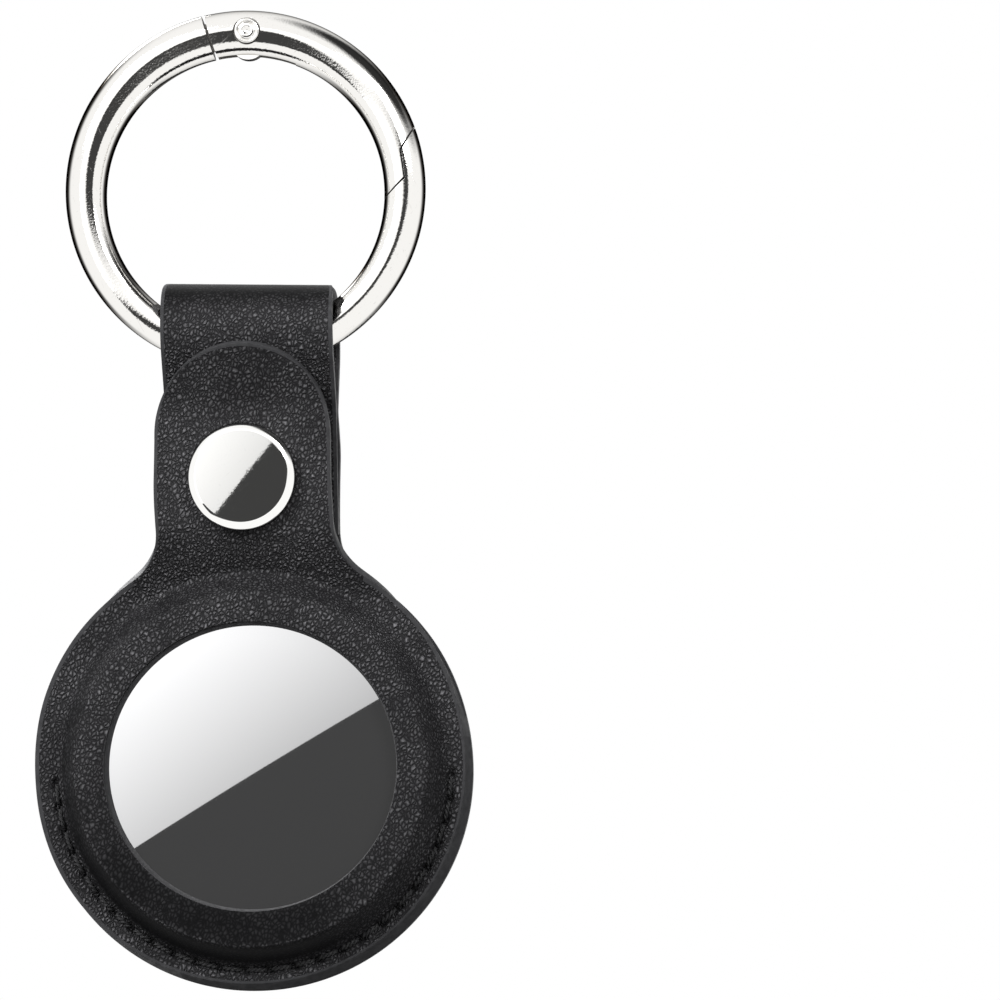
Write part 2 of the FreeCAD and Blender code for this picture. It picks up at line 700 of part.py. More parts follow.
def flap_path():
    """The back side of the front leather: flat on the back panel, out over the snap and up to the loop."""
    gap = number("parting_gap")
    low = -number("disc_drop + disc_radius + cut_overrun")
    valley = -number("disc_drop - front_bulge_base_diameter / 2")
    flat_reach = number("cap_diameter / 2 + tab_flat_margin")
    snap_up = -number("snap_drop")
    tab_back = number("tab_back")
    top = -number("tab_top_drop")
    points = [
        Vector(0, -gap, low),
        Vector(0, -gap, valley),
        Vector(0, -tab_back, snap_up - flat_reach),
        Vector(0, -tab_back, snap_up + flat_reach),
        Vector(0, -number("tab_lean"), top),
    ]
    beyond = (points[-1] - points[-2]).normalize() * number("cut_overrun")
    points[-1] = points[-1] + beyond
    bend = number("tab_bend_radius")
    return rounded_path(points, [bend, bend, number("tab_lean_radius")])


def panel_outline(name, half, top_corners):
    """The flat outline of a panel about the disc's centre: the disc, the filleted neck and a top."""
    rise = f"sqrt((disc_radius + neck_fillet)^2 - ({half} + neck_fillet)^2)"
    share = "disc_radius / (disc_radius + neck_fillet)"
    side = f"({half} + neck_fillet) * {share}"
    corners = [(half, rise)] + top_corners + [
        (f"-{half}", rise, "right", "neck_fillet"),
        (f"-({side})", f"{rise} * {share}", "left", "disc_radius"),
        ("0", "-disc_radius", "left", "disc_radius"),
        (side, f"{rise} * {share}", "right", "neck_fillet"),
    ]
    reach = "eye_radius + leather_thickness + tab_front"
    return slab(name, corners, reach, f"-({reach})", "-disc_drop")


def bulge(name, base, top, shoulder, flange, parting, plateau, sign):
    """The moulded shell of one panel, with its skirt sunk in the flange."""
    inside = f"({plateau} - leather_thickness)"
    skirt = f"{base} / 2 + leather_thickness / 2"
    turn = "left" if sign > 0 else "right"
    mark = "" if sign > 0 else "-"
    corners = [
        ("0", f"{mark}({inside})"),
        (f"{top} / 2 - leather_thickness", f"{mark}({inside})"),
        (f"{base} / 2 - leather_thickness", f"{mark}({parting})"),
        (skirt, f"{mark}({parting})"),
        (skirt, f"{mark}({flange})"),
        (f"{base} / 2", f"{mark}({flange})"),
        (f"{top} / 2", f"{mark}({plateau} - {shoulder})", turn, shoulder),
        (f"{top} / 2 - {shoulder}", f"{mark}({plateau})"),
        ("0", f"{mark}({plateau})"),
    ]
    return turned(name, corners, up="-disc_drop")


def pocket_room(name, base, top, beyond, inside, sign):
    """The hollow under a bulge, cut right through the flange."""
    mark = "" if sign > 0 else "-"
    far_mark = "-" if sign > 0 else ""
    return turned(name, [
        ("0", f"{far_mark}({beyond})"),
        (f"{base} / 2 - leather_thickness", f"{far_mark}({beyond})"),
        (f"{base} / 2 - leather_thickness", "0"),
        (f"{top} / 2 - leather_thickness", f"{mark}({inside})"),
        ("0", f"{mark}({inside})"),
    ], up="-disc_drop")


def stitch_places():
    """The needle holes along the lower half of the disc, as points in the parting plane."""
    radius = number("stitch_circle_diameter / 2")
    count = round(number("stitch_count"))
    arc = math.radians(number("stitch_arc_angle"))
    start = -math.pi / 2 - arc / 2
    centre_up = -number("disc_drop")
    places = []
    for index in range(count + 1):
        angle = start + arc * index / count
        places.append(Vector(radius * math.cos(angle), 0, centre_up + radius * math.sin(angle)))
    return places


def stitch_holes(name):
    """Round needle holes through both panels."""
    radius = number("stitch_thread_diameter / 2 + stitch_hole_clearance")
    reach = number("flange_front + cut_overrun")
    holes = [Part.makeCylinder(radius, 2 * reach, spot + Vector(0, -reach, 0), Vector(0, 1, 0))
             for spot in stitch_places()]
    return plain(name, Part.makeCompound(holes))


def stitches(name, face, inner):
    """One thread: straight stitches on a face, joined to legs that go into the needle holes."""
    radius = number("stitch_thread_diameter / 2")
    side = 1 if face > 0 else -1
    level = Vector(0, -(face + side * radius), 0)
    depth = abs(face + side * radius - inner)
    places = stitch_places()
    pieces = []
    for first, second in zip(places, places[1:]):
        way = second - first
        pieces.append(Part.makeCylinder(radius, way.Length, first + level, way))
    for spot in places:
        pieces.append(Part.makeSphere(radius, spot + level))
        pieces.append(Part.makeCylinder(radius, depth, spot + level, Vector(0, side, 0)))
    thread = pieces[0].multiFuse(pieces[1:])
    return node(plain(name + "_wire", thread.removeSplitter()), name)


def back_panel():
    """The back leather in one piece: disc, bulge, neck, strap, loop and folded leg."""
    strap_top = "disc_drop - eye_drop + eye_radius + leather_thickness + cut_overrun"
    outline = panel_outline("back_cut", "strap_half", [("strap_half", strap_top), ("-strap_half", strap_top)])
    sheet_solid = bent_sheet("strap_sheet", strap_path(), -1)
    flat = shared("strap_cut", outline, sheet_solid)
    shell = bulge("back_bulge", "back_bulge_base_diameter", "back_bulge_top_diameter", "back_bulge_shoulder",
                  "flange_back", "0", "back_plateau", -1)
    room = pocket_room("back_room", "back_bulge_base_diameter", "back_bulge_top_diameter", "cut_overrun",
                       "back_plateau_inside", -1)
    hole = rod("strap_hole", "rivet_hole_diameter", "-flange_back - cut_overrun", "leg_face + cut_overrun",
               up="-snap_drop")
    hollow = less("back_leather", joined("back_blank", flat, shell), room, hole)
    return node(less("back_panel_solid", hollow, stitch_holes("back_needle_holes")), "back_panel")


def front_leather():
    """The front leather as it is cut and moulded, before it is parted at the fold of the flap."""
    spring_line = "disc_drop - tab_top_drop - tab_half"
    outline = panel_outline("front_cut", "tab_half", [
        ("tab_half", spring_line, "left", "tab_half"),
        ("0", "disc_drop - tab_top_drop", "left", "tab_half"),
        ("-tab_half", spring_line),
    ])
    sheet_solid = bent_sheet("flap_sheet", flap_path(), 1)
    flat = shared("flap_cut", outline, sheet_solid)
    shell = bulge("front_bulge", "front_bulge_base_diameter", "front_bulge_top_diameter",
                  "front_bulge_shoulder", "flange_front", "parting_gap", "front_plateau", 1)
    room = pocket_room("front_room", "front_bulge_base_diameter", "front_bulge_top_diameter", "cut_overrun",
                       "front_plateau_inside", 1)
    window = rod("window_cut", "window_diameter", "0", "front_plateau + cut_overrun", up="-disc_drop")
    hole = rod("tab_hole", "rivet_hole_diameter", "leg_face", "tab_front + cut_overrun", up="-snap_drop")
    return less("front_leather_solid", joined("front_blank", flat, shell), room, window, hole)


def front_halves():
    """The stitched lower half and the folding upper half of the front leather."""
    leather = front_leather()
    reach = "disc_diameter"
    fold = "-disc_drop"
    low_room = block("panel_room", f"-{reach}", reach, "-tab_front", "tab_front + tab_lean",
                     f"{fold} - {reach}", f"{fold} - flap_split_gap / 2")
    high_room = block("flap_room", f"-{reach}", reach, "-tab_front", "tab_front + tab_lean",
                      f"{fold} + flap_split_gap / 2", f"{fold} + 2 * {reach}")
    low = shared("front_panel_blank", leather, low_room)
    panel = node(less("front_panel_solid", low, stitch_holes("front_needle_holes")), "front_panel")
    flap = node(shared("front_flap_solid", leather, high_room), "front_flap")
    return panel, flap


# Snap fastener
def snap_cap(name, face, sign):
    """A domed sheet cap with its rim curled in under the rivet's plate."""
    mark = "" if sign > 0 else "-"
    turn = "left" if sign > 0 else "right"
    back_turn = "right" if sign > 0 else "left"
    edge = "cap_height - cap_dome_rise"
    flat = "cap_diameter / 2 - cap_shoulder"
    dome = f"(({flat})^2 + cap_dome_rise^2) / (2 * cap_dome_rise)"

    def level(text):
        return f"{mark}({face} + {text})"
    return node(turned(name + "_shell", [
        ("cap_diameter / 2 - cap_rim_width", level("0")),
        ("cap_diameter / 2", level("0")),
        ("cap_diameter / 2", level(f"{edge} - cap_shoulder"), turn, "cap_shoulder"),
        (flat, level(edge), turn, dome),
        ("0", level("cap_height")),
        ("0", level("cap_height - cap_sheet"), back_turn, dome),
        (flat, level(f"{edge} - cap_sheet"), back_turn, "cap_shoulder - cap_sheet"),
        ("cap_diameter / 2 - cap_sheet", level(f"{edge} - cap_shoulder")),
        ("cap_diameter / 2 - cap_sheet", level("cap_sheet")),
        ("cap_diameter / 2 - cap_rim_width", level("cap_sheet")),
    ], up="-snap_drop"), name)


def snap_rivet(name, face, far_face, sign):
    """The plate inside a cap and its hollow post, flared over the plate of the socket or the stud."""
    mark = "" if sign > 0 else "-"
    plate = "cap_diameter / 2 - cap_sheet - rivet_plate_clearance"

    def level(text):
        return f"{mark}({text})"
    seat = f"{face} + cap_sheet"
    return node(turned(name + "_post", [
        ("0", level(f"{seat} + rivet_plate_thickness")),
        (plate, level(f"{seat} + rivet_plate_thickness")),
        (plate, level(seat)),
        ("rivet_post_diameter / 2", level(seat)),
        ("rivet_post_diameter / 2", level(far_face)),
        ("rivet_flare_diameter / 2", level(far_face)),
        ("rivet_flare_diameter / 2", level(f"{far_face} - rivet_flare_height")),
        ("rivet_bore_diameter / 2", level(f"{far_face} - rivet_flare_height")),
        ("rivet_bore_diameter / 2", level(face)),
        ("0", level(face)),
    ], up="-snap_drop"), name)


def snap_socket():
    """The socket on the back of the tab, with a lip that keeps the spring in."""
    return node(turned("snap_socket_shell", [
        ("rivet_hole_diameter / 2", "tab_back"),
        ("socket_plate_diameter / 2", "tab_back"),
        ("socket_plate_diameter / 2", "socket_floor"),
        ("socket_body_diameter / 2", "socket_floor"),
        ("socket_body_diameter / 2", "socket_mouth"),
        ("socket_lip_diameter / 2", "socket_mouth"),
        ("socket_lip_diameter / 2", "socket_lip_top"),
        ("socket_cavity_diameter / 2", "socket_lip_top"),
        ("socket_cavity_diameter / 2", "socket_floor"),
        ("rivet_hole_diameter / 2", "socket_floor"),
    ], up="-snap_drop"), "snap_socket")


def socket_spring():
    """The split wire ring inside the socket that closes behind the ball of the stud."""
    ring = doc.addObject("Part::Torus", "socket_spring_ring")
    bind(ring, Radius1="socket_spring_radius", Radius2="socket_spring_wire / 2", Angle3="socket_spring_angle")
    place(ring, back="-socket_spring_level", up="-snap_drop", angle=90)
    return node(ring, "socket_spring")


def snap_stud():
    """The stud on the folded leg: a flange, a neck and a hollow ball."""
    ball = "stud_ball_diameter / 2"
    hollow = "stud_hollow_diameter / 2"
    ball_height = "stud_top - stud_neck_top"
    return node(turned("snap_stud_shell", [
        ("rivet_hole_diameter / 2", "leg_face"),
        ("stud_flange_diameter / 2", "leg_face"),
        ("stud_flange_diameter / 2", "stud_face"),
        ("stud_neck_diameter / 2", "stud_face"),
        ("stud_neck_diameter / 2", "stud_neck_top"),
        (ball, f"stud_neck_top + ({ball_height}) * stud_ball_low_share"),
        (ball, f"stud_neck_top + ({ball_height}) * stud_ball_high_share"),
        ("stud_neck_diameter / 2", "stud_top"),
        ("0", "stud_top"),
        ("0", "stud_top - stud_wall"),
        (hollow, "stud_top - stud_wall"),
        (hollow, "stud_face"),
        ("rivet_hole_diameter / 2", "stud_face"),
    ], up="-snap_drop"), "snap_stud")


# Tracker tag
def sectors(name, inner, outer, low, high, angle, count, start):
    """Several blocks that follow a ring round the tag's axis."""
    inside, outside = number(f"({inner}) / 2"), number(f"({outer}) / 2")
    bottom, top = number(low), number(high)
    spread, copies = number(angle), round(number(count))
    axis = Vector(0, -1, 0)
    centre = Vector(0, -bottom, -number("disc_drop"))
    pieces = []
    for index in range(copies):
        whole = Part.makeCylinder(outside, top - bottom, centre, axis, spread)
        piece = whole.cut(Part.makeCylinder(inside, top - bottom, centre, axis))
        piece.rotate(centre, axis, number(start) + 360 * index / copies)
        pieces.append(piece)
    return plain(name, Part.makeCompound(pieces))


def tag_housing():
    """The domed plastic housing, with a ledge in front that has gaps for the lugs of the cover."""
    dome_radius = "((tag_back_dome_diameter / 2)^2 + tag_back_dome_rise^2) / (2 * tag_back_dome_rise)"
    floor_corner = "tag_back_dome_diameter / 2 - housing_wall / 2"
    shell = turned("housing_shell", [
        ("0", "-tag_half", "left", dome_radius),
        ("tag_back_dome_diameter / 2", "-tag_half + tag_back_dome_rise", "left", "tag_back_shoulder_radius"),
        ("tag_radius", "-tag_rim_back"),
        ("tag_radius", "tag_rim_front", "left", "tag_front_shoulder_radius"),
        ("housing_rim_diameter / 2 + housing_front_wall", "tag_front_rim_level"),
        ("housing_rim_diameter / 2", "tag_front_rim_level"),
        ("housing_rim_diameter / 2", "ledge_top"),
        ("ledge_diameter / 2", "ledge_top"),
        ("ledge_diameter / 2", "ledge_low"),
        ("housing_bore / 2", "ledge_low"),
        ("housing_bore / 2", "-tag_rim_back"),
        (floor_corner, "housing_floor_edge", "right", dome_radius),
        ("0", "housing_floor"),
    ], up="-disc_drop")
    lug_gaps = sectors("ledge_gaps", "ledge_diameter - 2 * ledge_clearance",
                       "lug_diameter + 2 * ledge_clearance", "ledge_low - ledge_clearance", "ledge_top",
                       "ledge_gap_angle", "cover_lug_count",
                       "cover_twist_angle + (cover_lug_angle - ledge_gap_angle) / 2")
    return node(less("tag_housing_solid", shell, lug_gaps), "tag_housing")


def tag_cover():
    """The steel cover: a shallow dome with a skirt, and lugs that hook under the ledge."""
    edge = "cover_diameter / 2"
    skirt = "cover_skirt_diameter / 2"
    inside = "cover_skirt_diameter / 2 - cover_skirt_wall"
    dome_radius = f"(({edge})^2 + cover_dome_rise^2) / (2 * cover_dome_rise)"
    inner_rise = "(tag_half - cover_sheet - cover_seat)"
    inner_radius = f"(({inside})^2 + {inner_rise}^2) / (2 * {inner_rise})"
    dome = turned("cover_dome", [
        ("0", "tag_half - cover_sheet", "right", inner_radius),
        (inside, "cover_seat"),
        (inside, "lug_low"),
        (skirt, "lug_low"),
        (skirt, "cover_seat"),
        (edge, "cover_seat"),
        (edge, "cover_edge_top", "left", dome_radius),
        ("0", "tag_half"),
    ], up="-disc_drop")
    lugs = sectors("cover_lugs", "cover_skirt_diameter - cover_skirt_wall", "lug_diameter",
                   "lug_low", "lug_top", "cover_lug_angle", "cover_lug_count", "0")
    return node(joined("tag_cover_solid", dome, lugs), "tag_cover")


def ring_piece(label, inner, outer, low, high):
    """A plain ring or disc of rectangular section on the tag's axis."""
    return node(turned(label + "_body", [
        (inner, low),
        (outer, low),
        (outer, high),
        (inner, high),
    ], up="-disc_drop"), label)


def coin_cell():
    """The cell: a can that opens to the back, the cap with the stack inside it, and the seal between."""
    rim = "cell_low + cell_can_lift"
    wall = "cell_diameter / 2 - cell_sheet"
    crimp = "cell_diameter / 2 - cell_crimp"
    cap = f"{crimp} - cell_gasket_width - 2 * cell_gap"
    node(turned("cell_can_shell", [
        ("0", "cell_top_level - cell_sheet"),
        (wall, "cell_top_level - cell_sheet"),
        (wall, f"{rim} + cell_sheet"),
        (crimp, f"{rim} + cell_sheet"),
        (crimp, rim),
        ("cell_diameter / 2", rim),
        ("cell_diameter / 2", "cell_top_level"),
        ("0", "cell_top_level"),
    ], up="-disc_drop"), "coin_cell_can")
    ring_piece("coin_cell_gasket", f"{cap} + cell_gap", f"{crimp} - cell_gap", rim, f"{rim} + cell_crimp")
    ring_piece("coin_cell_cap", "0", cap, "cell_low", "cell_top_level - cell_sheet - cell_gap")


def battery_tray():
    """The tray that holds the cell in its wall."""
    return node(turned("battery_tray_cup", [
        ("0", "tray_low"),
        ("tray_diameter / 2", "tray_low"),
        ("tray_diameter / 2", "tray_floor_top"),
        ("tray_bore / 2 + tray_wall", "tray_floor_top"),
        ("tray_bore / 2 + tray_wall", "tray_floor_top + tray_wall_height"),
        ("tray_bore / 2", "tray_floor_top + tray_wall_height"),
        ("tray_bore / 2", "tray_floor_top"),
        ("0", "tray_floor_top"),
    ], up="-disc_drop"), "battery_tray")


def board_chips():
    """The chips on the back of the circuit board."""
    length, width, height = number("chip_length"), number("chip_width"), number("chip_height")
    radius = number("(board_outer_diameter / 2 + board_inner_diameter / 2) / 2")
    back = -number("board_low")
    centre = Vector(0, 0, -number("disc_drop"))
    copies = round(number("chip_count"))
    chips = []
    for index in range(copies):
        chip = Part.makeBox(width, height, length, Vector(radius - width / 2, back, centre.z - length / 2))
        chip.rotate(centre, Vector(0, 1, 0), number("chip_start_angle") + 360 * index / copies)
        chips.append(chip)
    return node(plain("board_chip_set", Part.makeCompound(chips)), "board_chips")


def tracker_tag():
    """Every piece of the tag, from the cover back to the voice coil."""
    tag_housing()
    tag_cover()
    gasket_bore = "housing_rim_diameter / 2 - gasket_width"
    ring_piece("cover_gasket", gasket_bore, "housing_rim_diameter / 2 - gasket_gap",
               "ledge_top + gasket_gap", "cover_seat - gasket_gap")
    coin_cell()
    battery_tray()
    contact_bore = "cell_diameter + 2 * contact_gap"
    contacts = sectors("side_contacts", contact_bore, f"{contact_bore} + 2 * contact_thickness",
                       "tray_floor_top + contact_gap", "tray_floor_top + contact_height",
                       "contact_angle", "contact_count", "contact_angle / 2")
    node(contacts, "positive_contacts")
    ring_piece("negative_contact", "contact_inner_diameter / 2", "contact_outer_diameter / 2",
               "tray_floor_top + contact_gap", "cell_low - contact_gap")
    ring_piece("circuit_board", "board_inner_diameter / 2", "board_outer_diameter / 2",
               "board_low", "board_top")
    board_chips()
    ring_piece("antenna_ring", "antenna_inner_diameter / 2", "antenna_outer_diameter / 2",
               "antenna_low", "antenna_low + antenna_height")
    ring_piece("speaker_magnet", "0", "magnet_diameter / 2", "board_top - magnet_height", "board_top")
    ring_piece("voice_coil", "coil_inner_diameter / 2", "coil_outer_diameter / 2", "coil_low",
               "coil_low + coil_height")


stock = ring_stock()
ring_body(stock)
ring_gate(stock)
gate_pivot_pin()
gate_spring()
back_panel()
front_halves()
stitches("needle_thread", number("flange_front"), number("parting_gap"))
stitches("bobbin_thread", -number("flange_back"), 0)
snap_cap("front_snap_cap", "tab_front", 1)
snap_rivet("front_snap_rivet", "tab_front", "socket_floor", 1)
snap_socket()
socket_spring()
snap_stud()
snap_cap("back_snap_cap", "flange_back", -1)
snap_rivet("back_snap_rivet", "flange_back", "-stud_face", -1)
tracker_tag()
doc.recompute()

# Nothing is written unless every object and every shape is sound
for item in doc.Objects:
    if "Invalid" in item.State or "Error" in item.State:
        raise RuntimeError(f"{item.Label} did not compute: {item.State}")
for item in NODES:
    if item.Shape.isNull() or not item.Shape.isValid():
        raise RuntimeError(f"{item.Label} has no sound shape")
os.makedirs("parts", exist_ok=True)
for item in NODES:
    item.Shape.exportStep(f"parts/{item.Label}.step")
    print(item.Label, "solids", len(item.Shape.Solids), "volume", round(item.Shape.Volume, 3))
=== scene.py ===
# %% [markdown]
# # A leather holder for a tracker tag
# The holder is a round stitched pocket with a window, a strap that loops round a sprung ring, and a tab
# that snaps shut over the strap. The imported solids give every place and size. This lesson dresses them:
# each step says what a piece is on the real object, how it could be made and why one way was chosen.

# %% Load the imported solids
import json
import math

import bmesh
import bpy
from mathutils import Matrix, Vector, noise


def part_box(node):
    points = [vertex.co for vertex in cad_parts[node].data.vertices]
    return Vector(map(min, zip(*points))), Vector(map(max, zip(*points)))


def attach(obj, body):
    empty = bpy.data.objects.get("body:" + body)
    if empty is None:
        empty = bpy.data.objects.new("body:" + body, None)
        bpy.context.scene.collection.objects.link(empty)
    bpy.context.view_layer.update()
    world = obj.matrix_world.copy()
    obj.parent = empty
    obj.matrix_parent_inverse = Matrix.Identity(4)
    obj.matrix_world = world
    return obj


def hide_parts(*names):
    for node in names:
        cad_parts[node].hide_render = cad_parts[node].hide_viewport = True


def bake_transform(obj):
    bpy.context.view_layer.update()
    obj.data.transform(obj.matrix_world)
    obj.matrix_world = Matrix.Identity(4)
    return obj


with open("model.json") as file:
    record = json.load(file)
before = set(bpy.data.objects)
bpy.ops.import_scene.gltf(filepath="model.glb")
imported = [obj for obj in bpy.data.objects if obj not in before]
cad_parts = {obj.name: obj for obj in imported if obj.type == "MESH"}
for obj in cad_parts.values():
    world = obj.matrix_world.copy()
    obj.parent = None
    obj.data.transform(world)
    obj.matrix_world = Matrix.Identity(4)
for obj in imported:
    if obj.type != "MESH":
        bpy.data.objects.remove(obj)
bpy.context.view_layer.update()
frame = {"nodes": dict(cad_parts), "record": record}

nodes = frame["nodes"]
scene = bpy.context.scene

# %% [markdown]
# ## The camera
# The photograph looks at the front from a little to the right and a little below, with a long lens, and the
# holder hangs in the left half of the picture. A lens shift would push it there too, but it would stay in
# every other view, so the camera is turned towards a point beside the holder instead.

# %% Place the camera
MM = 0.001
PHOTO_SIDE = 1000
VIEW_AZIMUTH = math.radians(5.5)
VIEW_ELEVATION = math.radians(-4.5)
VIEW_ROLL = math.radians(-0.905)
VIEW_DISTANCE = 0.62
PIXELS_PER_SLOPE = 6368.0
HOLDER_MIDDLE = Vector((0, 0, -0.030))
HOLDER_PIXEL = (250.3, 496.2)
SENSOR = 36.0

back_way = Vector((math.sin(VIEW_AZIMUTH) * math.cos(VIEW_ELEVATION),
                   -math.cos(VIEW_AZIMUTH) * math.cos(VIEW_ELEVATION), math.sin(VIEW_ELEVATION)))
level_right = Vector((0, 0, 1)).cross(back_way).normalized()
level_up = back_way.cross(level_right)
right_way = level_right * math.cos(VIEW_ROLL) + level_up * math.sin(VIEW_ROLL)
up_way = level_up * math.cos(VIEW_ROLL) - level_right * math.sin(VIEW_ROLL)

lens_spot = HOLDER_MIDDLE + back_way * VIEW_DISTANCE
aim_right = (PHOTO_SIDE / 2 - HOLDER_PIXEL[0]) / PIXELS_PER_SLOPE * VIEW_DISTANCE
aim_up = (HOLDER_PIXEL[1] - PHOTO_SIDE / 2) / PIXELS_PER_SLOPE * VIEW_DISTANCE
aim = HOLDER_MIDDLE + right_way * aim_right + up_way * aim_up
camera_z = (lens_spot - aim).normalized()
camera_x = up_way.cross(camera_z).normalized()
camera_y = camera_z.cross(camera_x)

camera_data = bpy.data.cameras.new("long_lens")
camera_data.sensor_width = SENSOR
camera_data.lens = SENSOR * PIXELS_PER_SLOPE / PHOTO_SIDE
camera_data.clip_start = 0.01
camera_data.clip_end = 20
camera = bpy.data.objects.new("camera", camera_data)
turn = Matrix((camera_x, camera_y, camera_z)).transposed().to_4x4()
camera.matrix_world = Matrix.Translation(lens_spot) @ turn
scene.collection.objects.link(camera)
scene.camera = camera
print("lens in mm", round(camera_data.lens), "at", [round(x, 3) for x in lens_spot])

# %% [markdown]
# ## Tools of the bench
# A few small helpers are used all through the lesson. `finished` turns a bmesh that was drawn in
# millimetres into an object in metres. `lathe` draws half a section, rounds its corners by bevelling them,
# and spins it, because most of the hardware is turned or pressed round. `plate` thickens a flat outline.
# `carve` lets one mesh cut or join another, and keeps only the result. `soft_step` and `polar` are the sums
# that most shapes need.

# %% Helpers for meshes
SHARP_ANGLE = math.radians(38)


def soft_step(low, high, value):
    """Ease from 0 to 1 between two values."""
    t = min(max((value - low) / (high - low), 0.0), 1.0)
    return t * t * (3 - 2 * t)


def polar(radius, angle, across=0.0, up=0.0):
    """A point (across, up) on a circle."""
    return across + radius * math.cos(angle), up + radius * math.sin(angle)


def object_of(name, bm, *materials):
    """An object with a bmesh's shape and its finishes."""
    mesh = bpy.data.meshes.new(name)
    bm.to_mesh(mesh)
    bm.free()
    piece = bpy.data.objects.new(name, mesh)
    scene.collection.objects.link(piece)
    for material in materials:
        mesh.materials.append(material)
    return piece


def finished(name, bm, *materials):
    """A bmesh drawn in millimetres becomes a smooth object in metres, with its place in its mesh."""
    bmesh.ops.recalc_face_normals(bm, faces=bm.faces)
    bmesh.ops.scale(bm, vec=(MM, MM, MM), verts=bm.verts)
    piece = object_of(name, bm, *materials)
    soften(piece)
    return piece


def soften(piece):
    """Shade a mesh smooth, but keep its corners."""
    mesh = piece.data
    mesh.polygons.foreach_set("use_smooth", [True] * len(mesh.polygons))
    mesh.set_sharp_from_angle(angle=SHARP_ANGLE)
    print(piece.name, "faces", len(mesh.polygons))


def spin_round(bm, steps):
    """Spin all that is drawn once round the axis that points forward."""
    bmesh.ops.spin(bm, geom=bm.verts[:] + bm.edges[:], cent=(0, 0, 0), axis=(0, 1, 0), dvec=(0, 0, 0),
                   angle=math.tau, steps=steps, use_merge=True, use_duplicate=False)


def lathe(corners, steps=128, across=0.0, up=0.0):
    """Spin corners of (radius, forward) or (radius, forward, rounding) about an axis that points forward."""
    bm = bmesh.new()
    line = [bm.verts.new((corner[0], -corner[1], 0)) for corner in corners]
    for first, second in zip(line, line[1:]):
        bm.edges.new((first, second))
    for vert, corner in zip(line, corners):
        if len(corner) == 3:
            bmesh.ops.bevel(bm, geom=[vert], offset=corner[2], offset_type="OFFSET", segments=5, profile=0.5,
                            affect="VERTICES", material=-1)
    spin_round(bm, steps)
    bmesh.ops.remove_doubles(bm, verts=bm.verts, dist=1e-5)
    bmesh.ops.translate(bm, vec=(across, 0, up), verts=bm.verts)
    return bm


def plate(outline, back, forward):
    """A flat outline of (across, up) points, thickened between two forward levels."""
    bm = bmesh.new()
    face = bm.faces.new([bm.verts.new((x, -back, z)) for x, z in outline])
    grown = bmesh.ops.extrude_face_region(bm, geom=[face])["geom"]
    moved = [item for item in grown if isinstance(item, bmesh.types.BMVert)]
    bmesh.ops.translate(bm, vec=(0, back - forward, 0), verts=moved)
    return bm


def carve(piece, operation, bm, inside):
    """Cut a bmesh out of a piece, or join it on, and give the new faces the inside's finish."""
    tool = finished(piece.name + "_tool", bm, inside)
    change = piece.modifiers.new("carve", "BOOLEAN")
    change.operation = operation
    change.solver = "EXACT"
    change.material_mode = "TRANSFER"
    change.object = tool
    evaluated = piece.evaluated_get(bpy.context.evaluated_depsgraph_get())
    result = bpy.data.meshes.new_from_object(evaluated)
    piece.modifiers.clear()
    old = piece.data
    piece.data = result
    result.name = piece.name
    bpy.data.meshes.remove(old)
    bpy.data.objects.remove(tool)


# %% [markdown]
# ## Helpers for finishes
# A finish is a node material. Its constants are set on the Principled shader itself, and only what changes
# over the surface comes in by a link. `finish` makes such a material, and `drive` fills its shader. `wire`
# adds one node and gives back one of its outputs. The short words after it stand for the nodes used most.

# %% Helpers for materials
MID_NOISE = (0.3, 0.7)


def fill(tree, node, places):
    """Fill a node's inputs, by name or number, with values or with other nodes' outputs."""
    for place, value in places.items():
        if isinstance(value, bpy.types.NodeSocket):
            tree.links.new(value, node.inputs[place])
        else:
            node.inputs[place].default_value = value


def drive(tree, **sockets):
    """Fill the sockets of the Principled shader."""
    places = {name.replace("_", " "): value for name, value in sockets.items()}
    fill(tree, tree.nodes["Principled BSDF"], places)


def finish(name, colour, roughness, metallic=0.0, **sockets):
    """A material whose Principled shader has its constant values on its own sockets, and its node tree."""
    material = bpy.data.materials.new(name)
    material.use_nodes = True
    drive(material.node_tree, Base_Color=(*colour, 1), Roughness=roughness, Metallic=metallic, **sockets)
    return material, material.node_tree


def wire(tree, kind, places, out=0, **options):
    """Add a node, set its options, fill its inputs, and give back one of its outputs."""
    node = tree.nodes.new("ShaderNode" + kind)
    for option, value in options.items():
        setattr(node, option, value)
    fill(tree, node, places)
    return node.outputs[out]


def own_place(tree):
    """Where a spot lies on the object itself."""
    return wire(tree, "TexCoord", {}, "Object")


def ramp(tree, value, low, high, start=0.0, end=1.0, **options):
    """Map a value from one range to another, in a straight line."""
    return wire(tree, "MapRange", {0: value, 1: low, 2: high, 3: start, 4: end}, **options)


def ease(tree, value, low, high, start=0.0, end=1.0):
    """Map a value from one range to another, with a soft start and a soft end."""
    return ramp(tree, value, low, high, start, end, interpolation_type="SMOOTHSTEP")


def reckon(tree, operation, *values):
    """Arithmetic on numbers."""
    return wire(tree, "Math", dict(enumerate(values)), operation=operation)


def steer(tree, operation, *values, out="Vector"):
    """Arithmetic on vectors."""
    return wire(tree, "VectorMath", dict(enumerate(values)), out, operation=operation)


def enlarge(tree, value, scale):
    """A vector made longer."""
    return wire(tree, "VectorMath", {0: value, "Scale": scale}, operation="SCALE")


def drawn_out(tree, spot, turned, stretch):
    """Coordinates that draw a pattern out along one turned axis."""
    return wire(tree, "Mapping", {"Vector": spot, "Rotation": turned, "Scale": (1, 1, stretch)},
                vector_type="TEXTURE")


def speckle(tree, spot, scale, detail, out="Fac"):
    """Cloudy noise."""
    return wire(tree, "TexNoise", {"Vector": spot, "Scale": scale, "Detail": detail}, out)


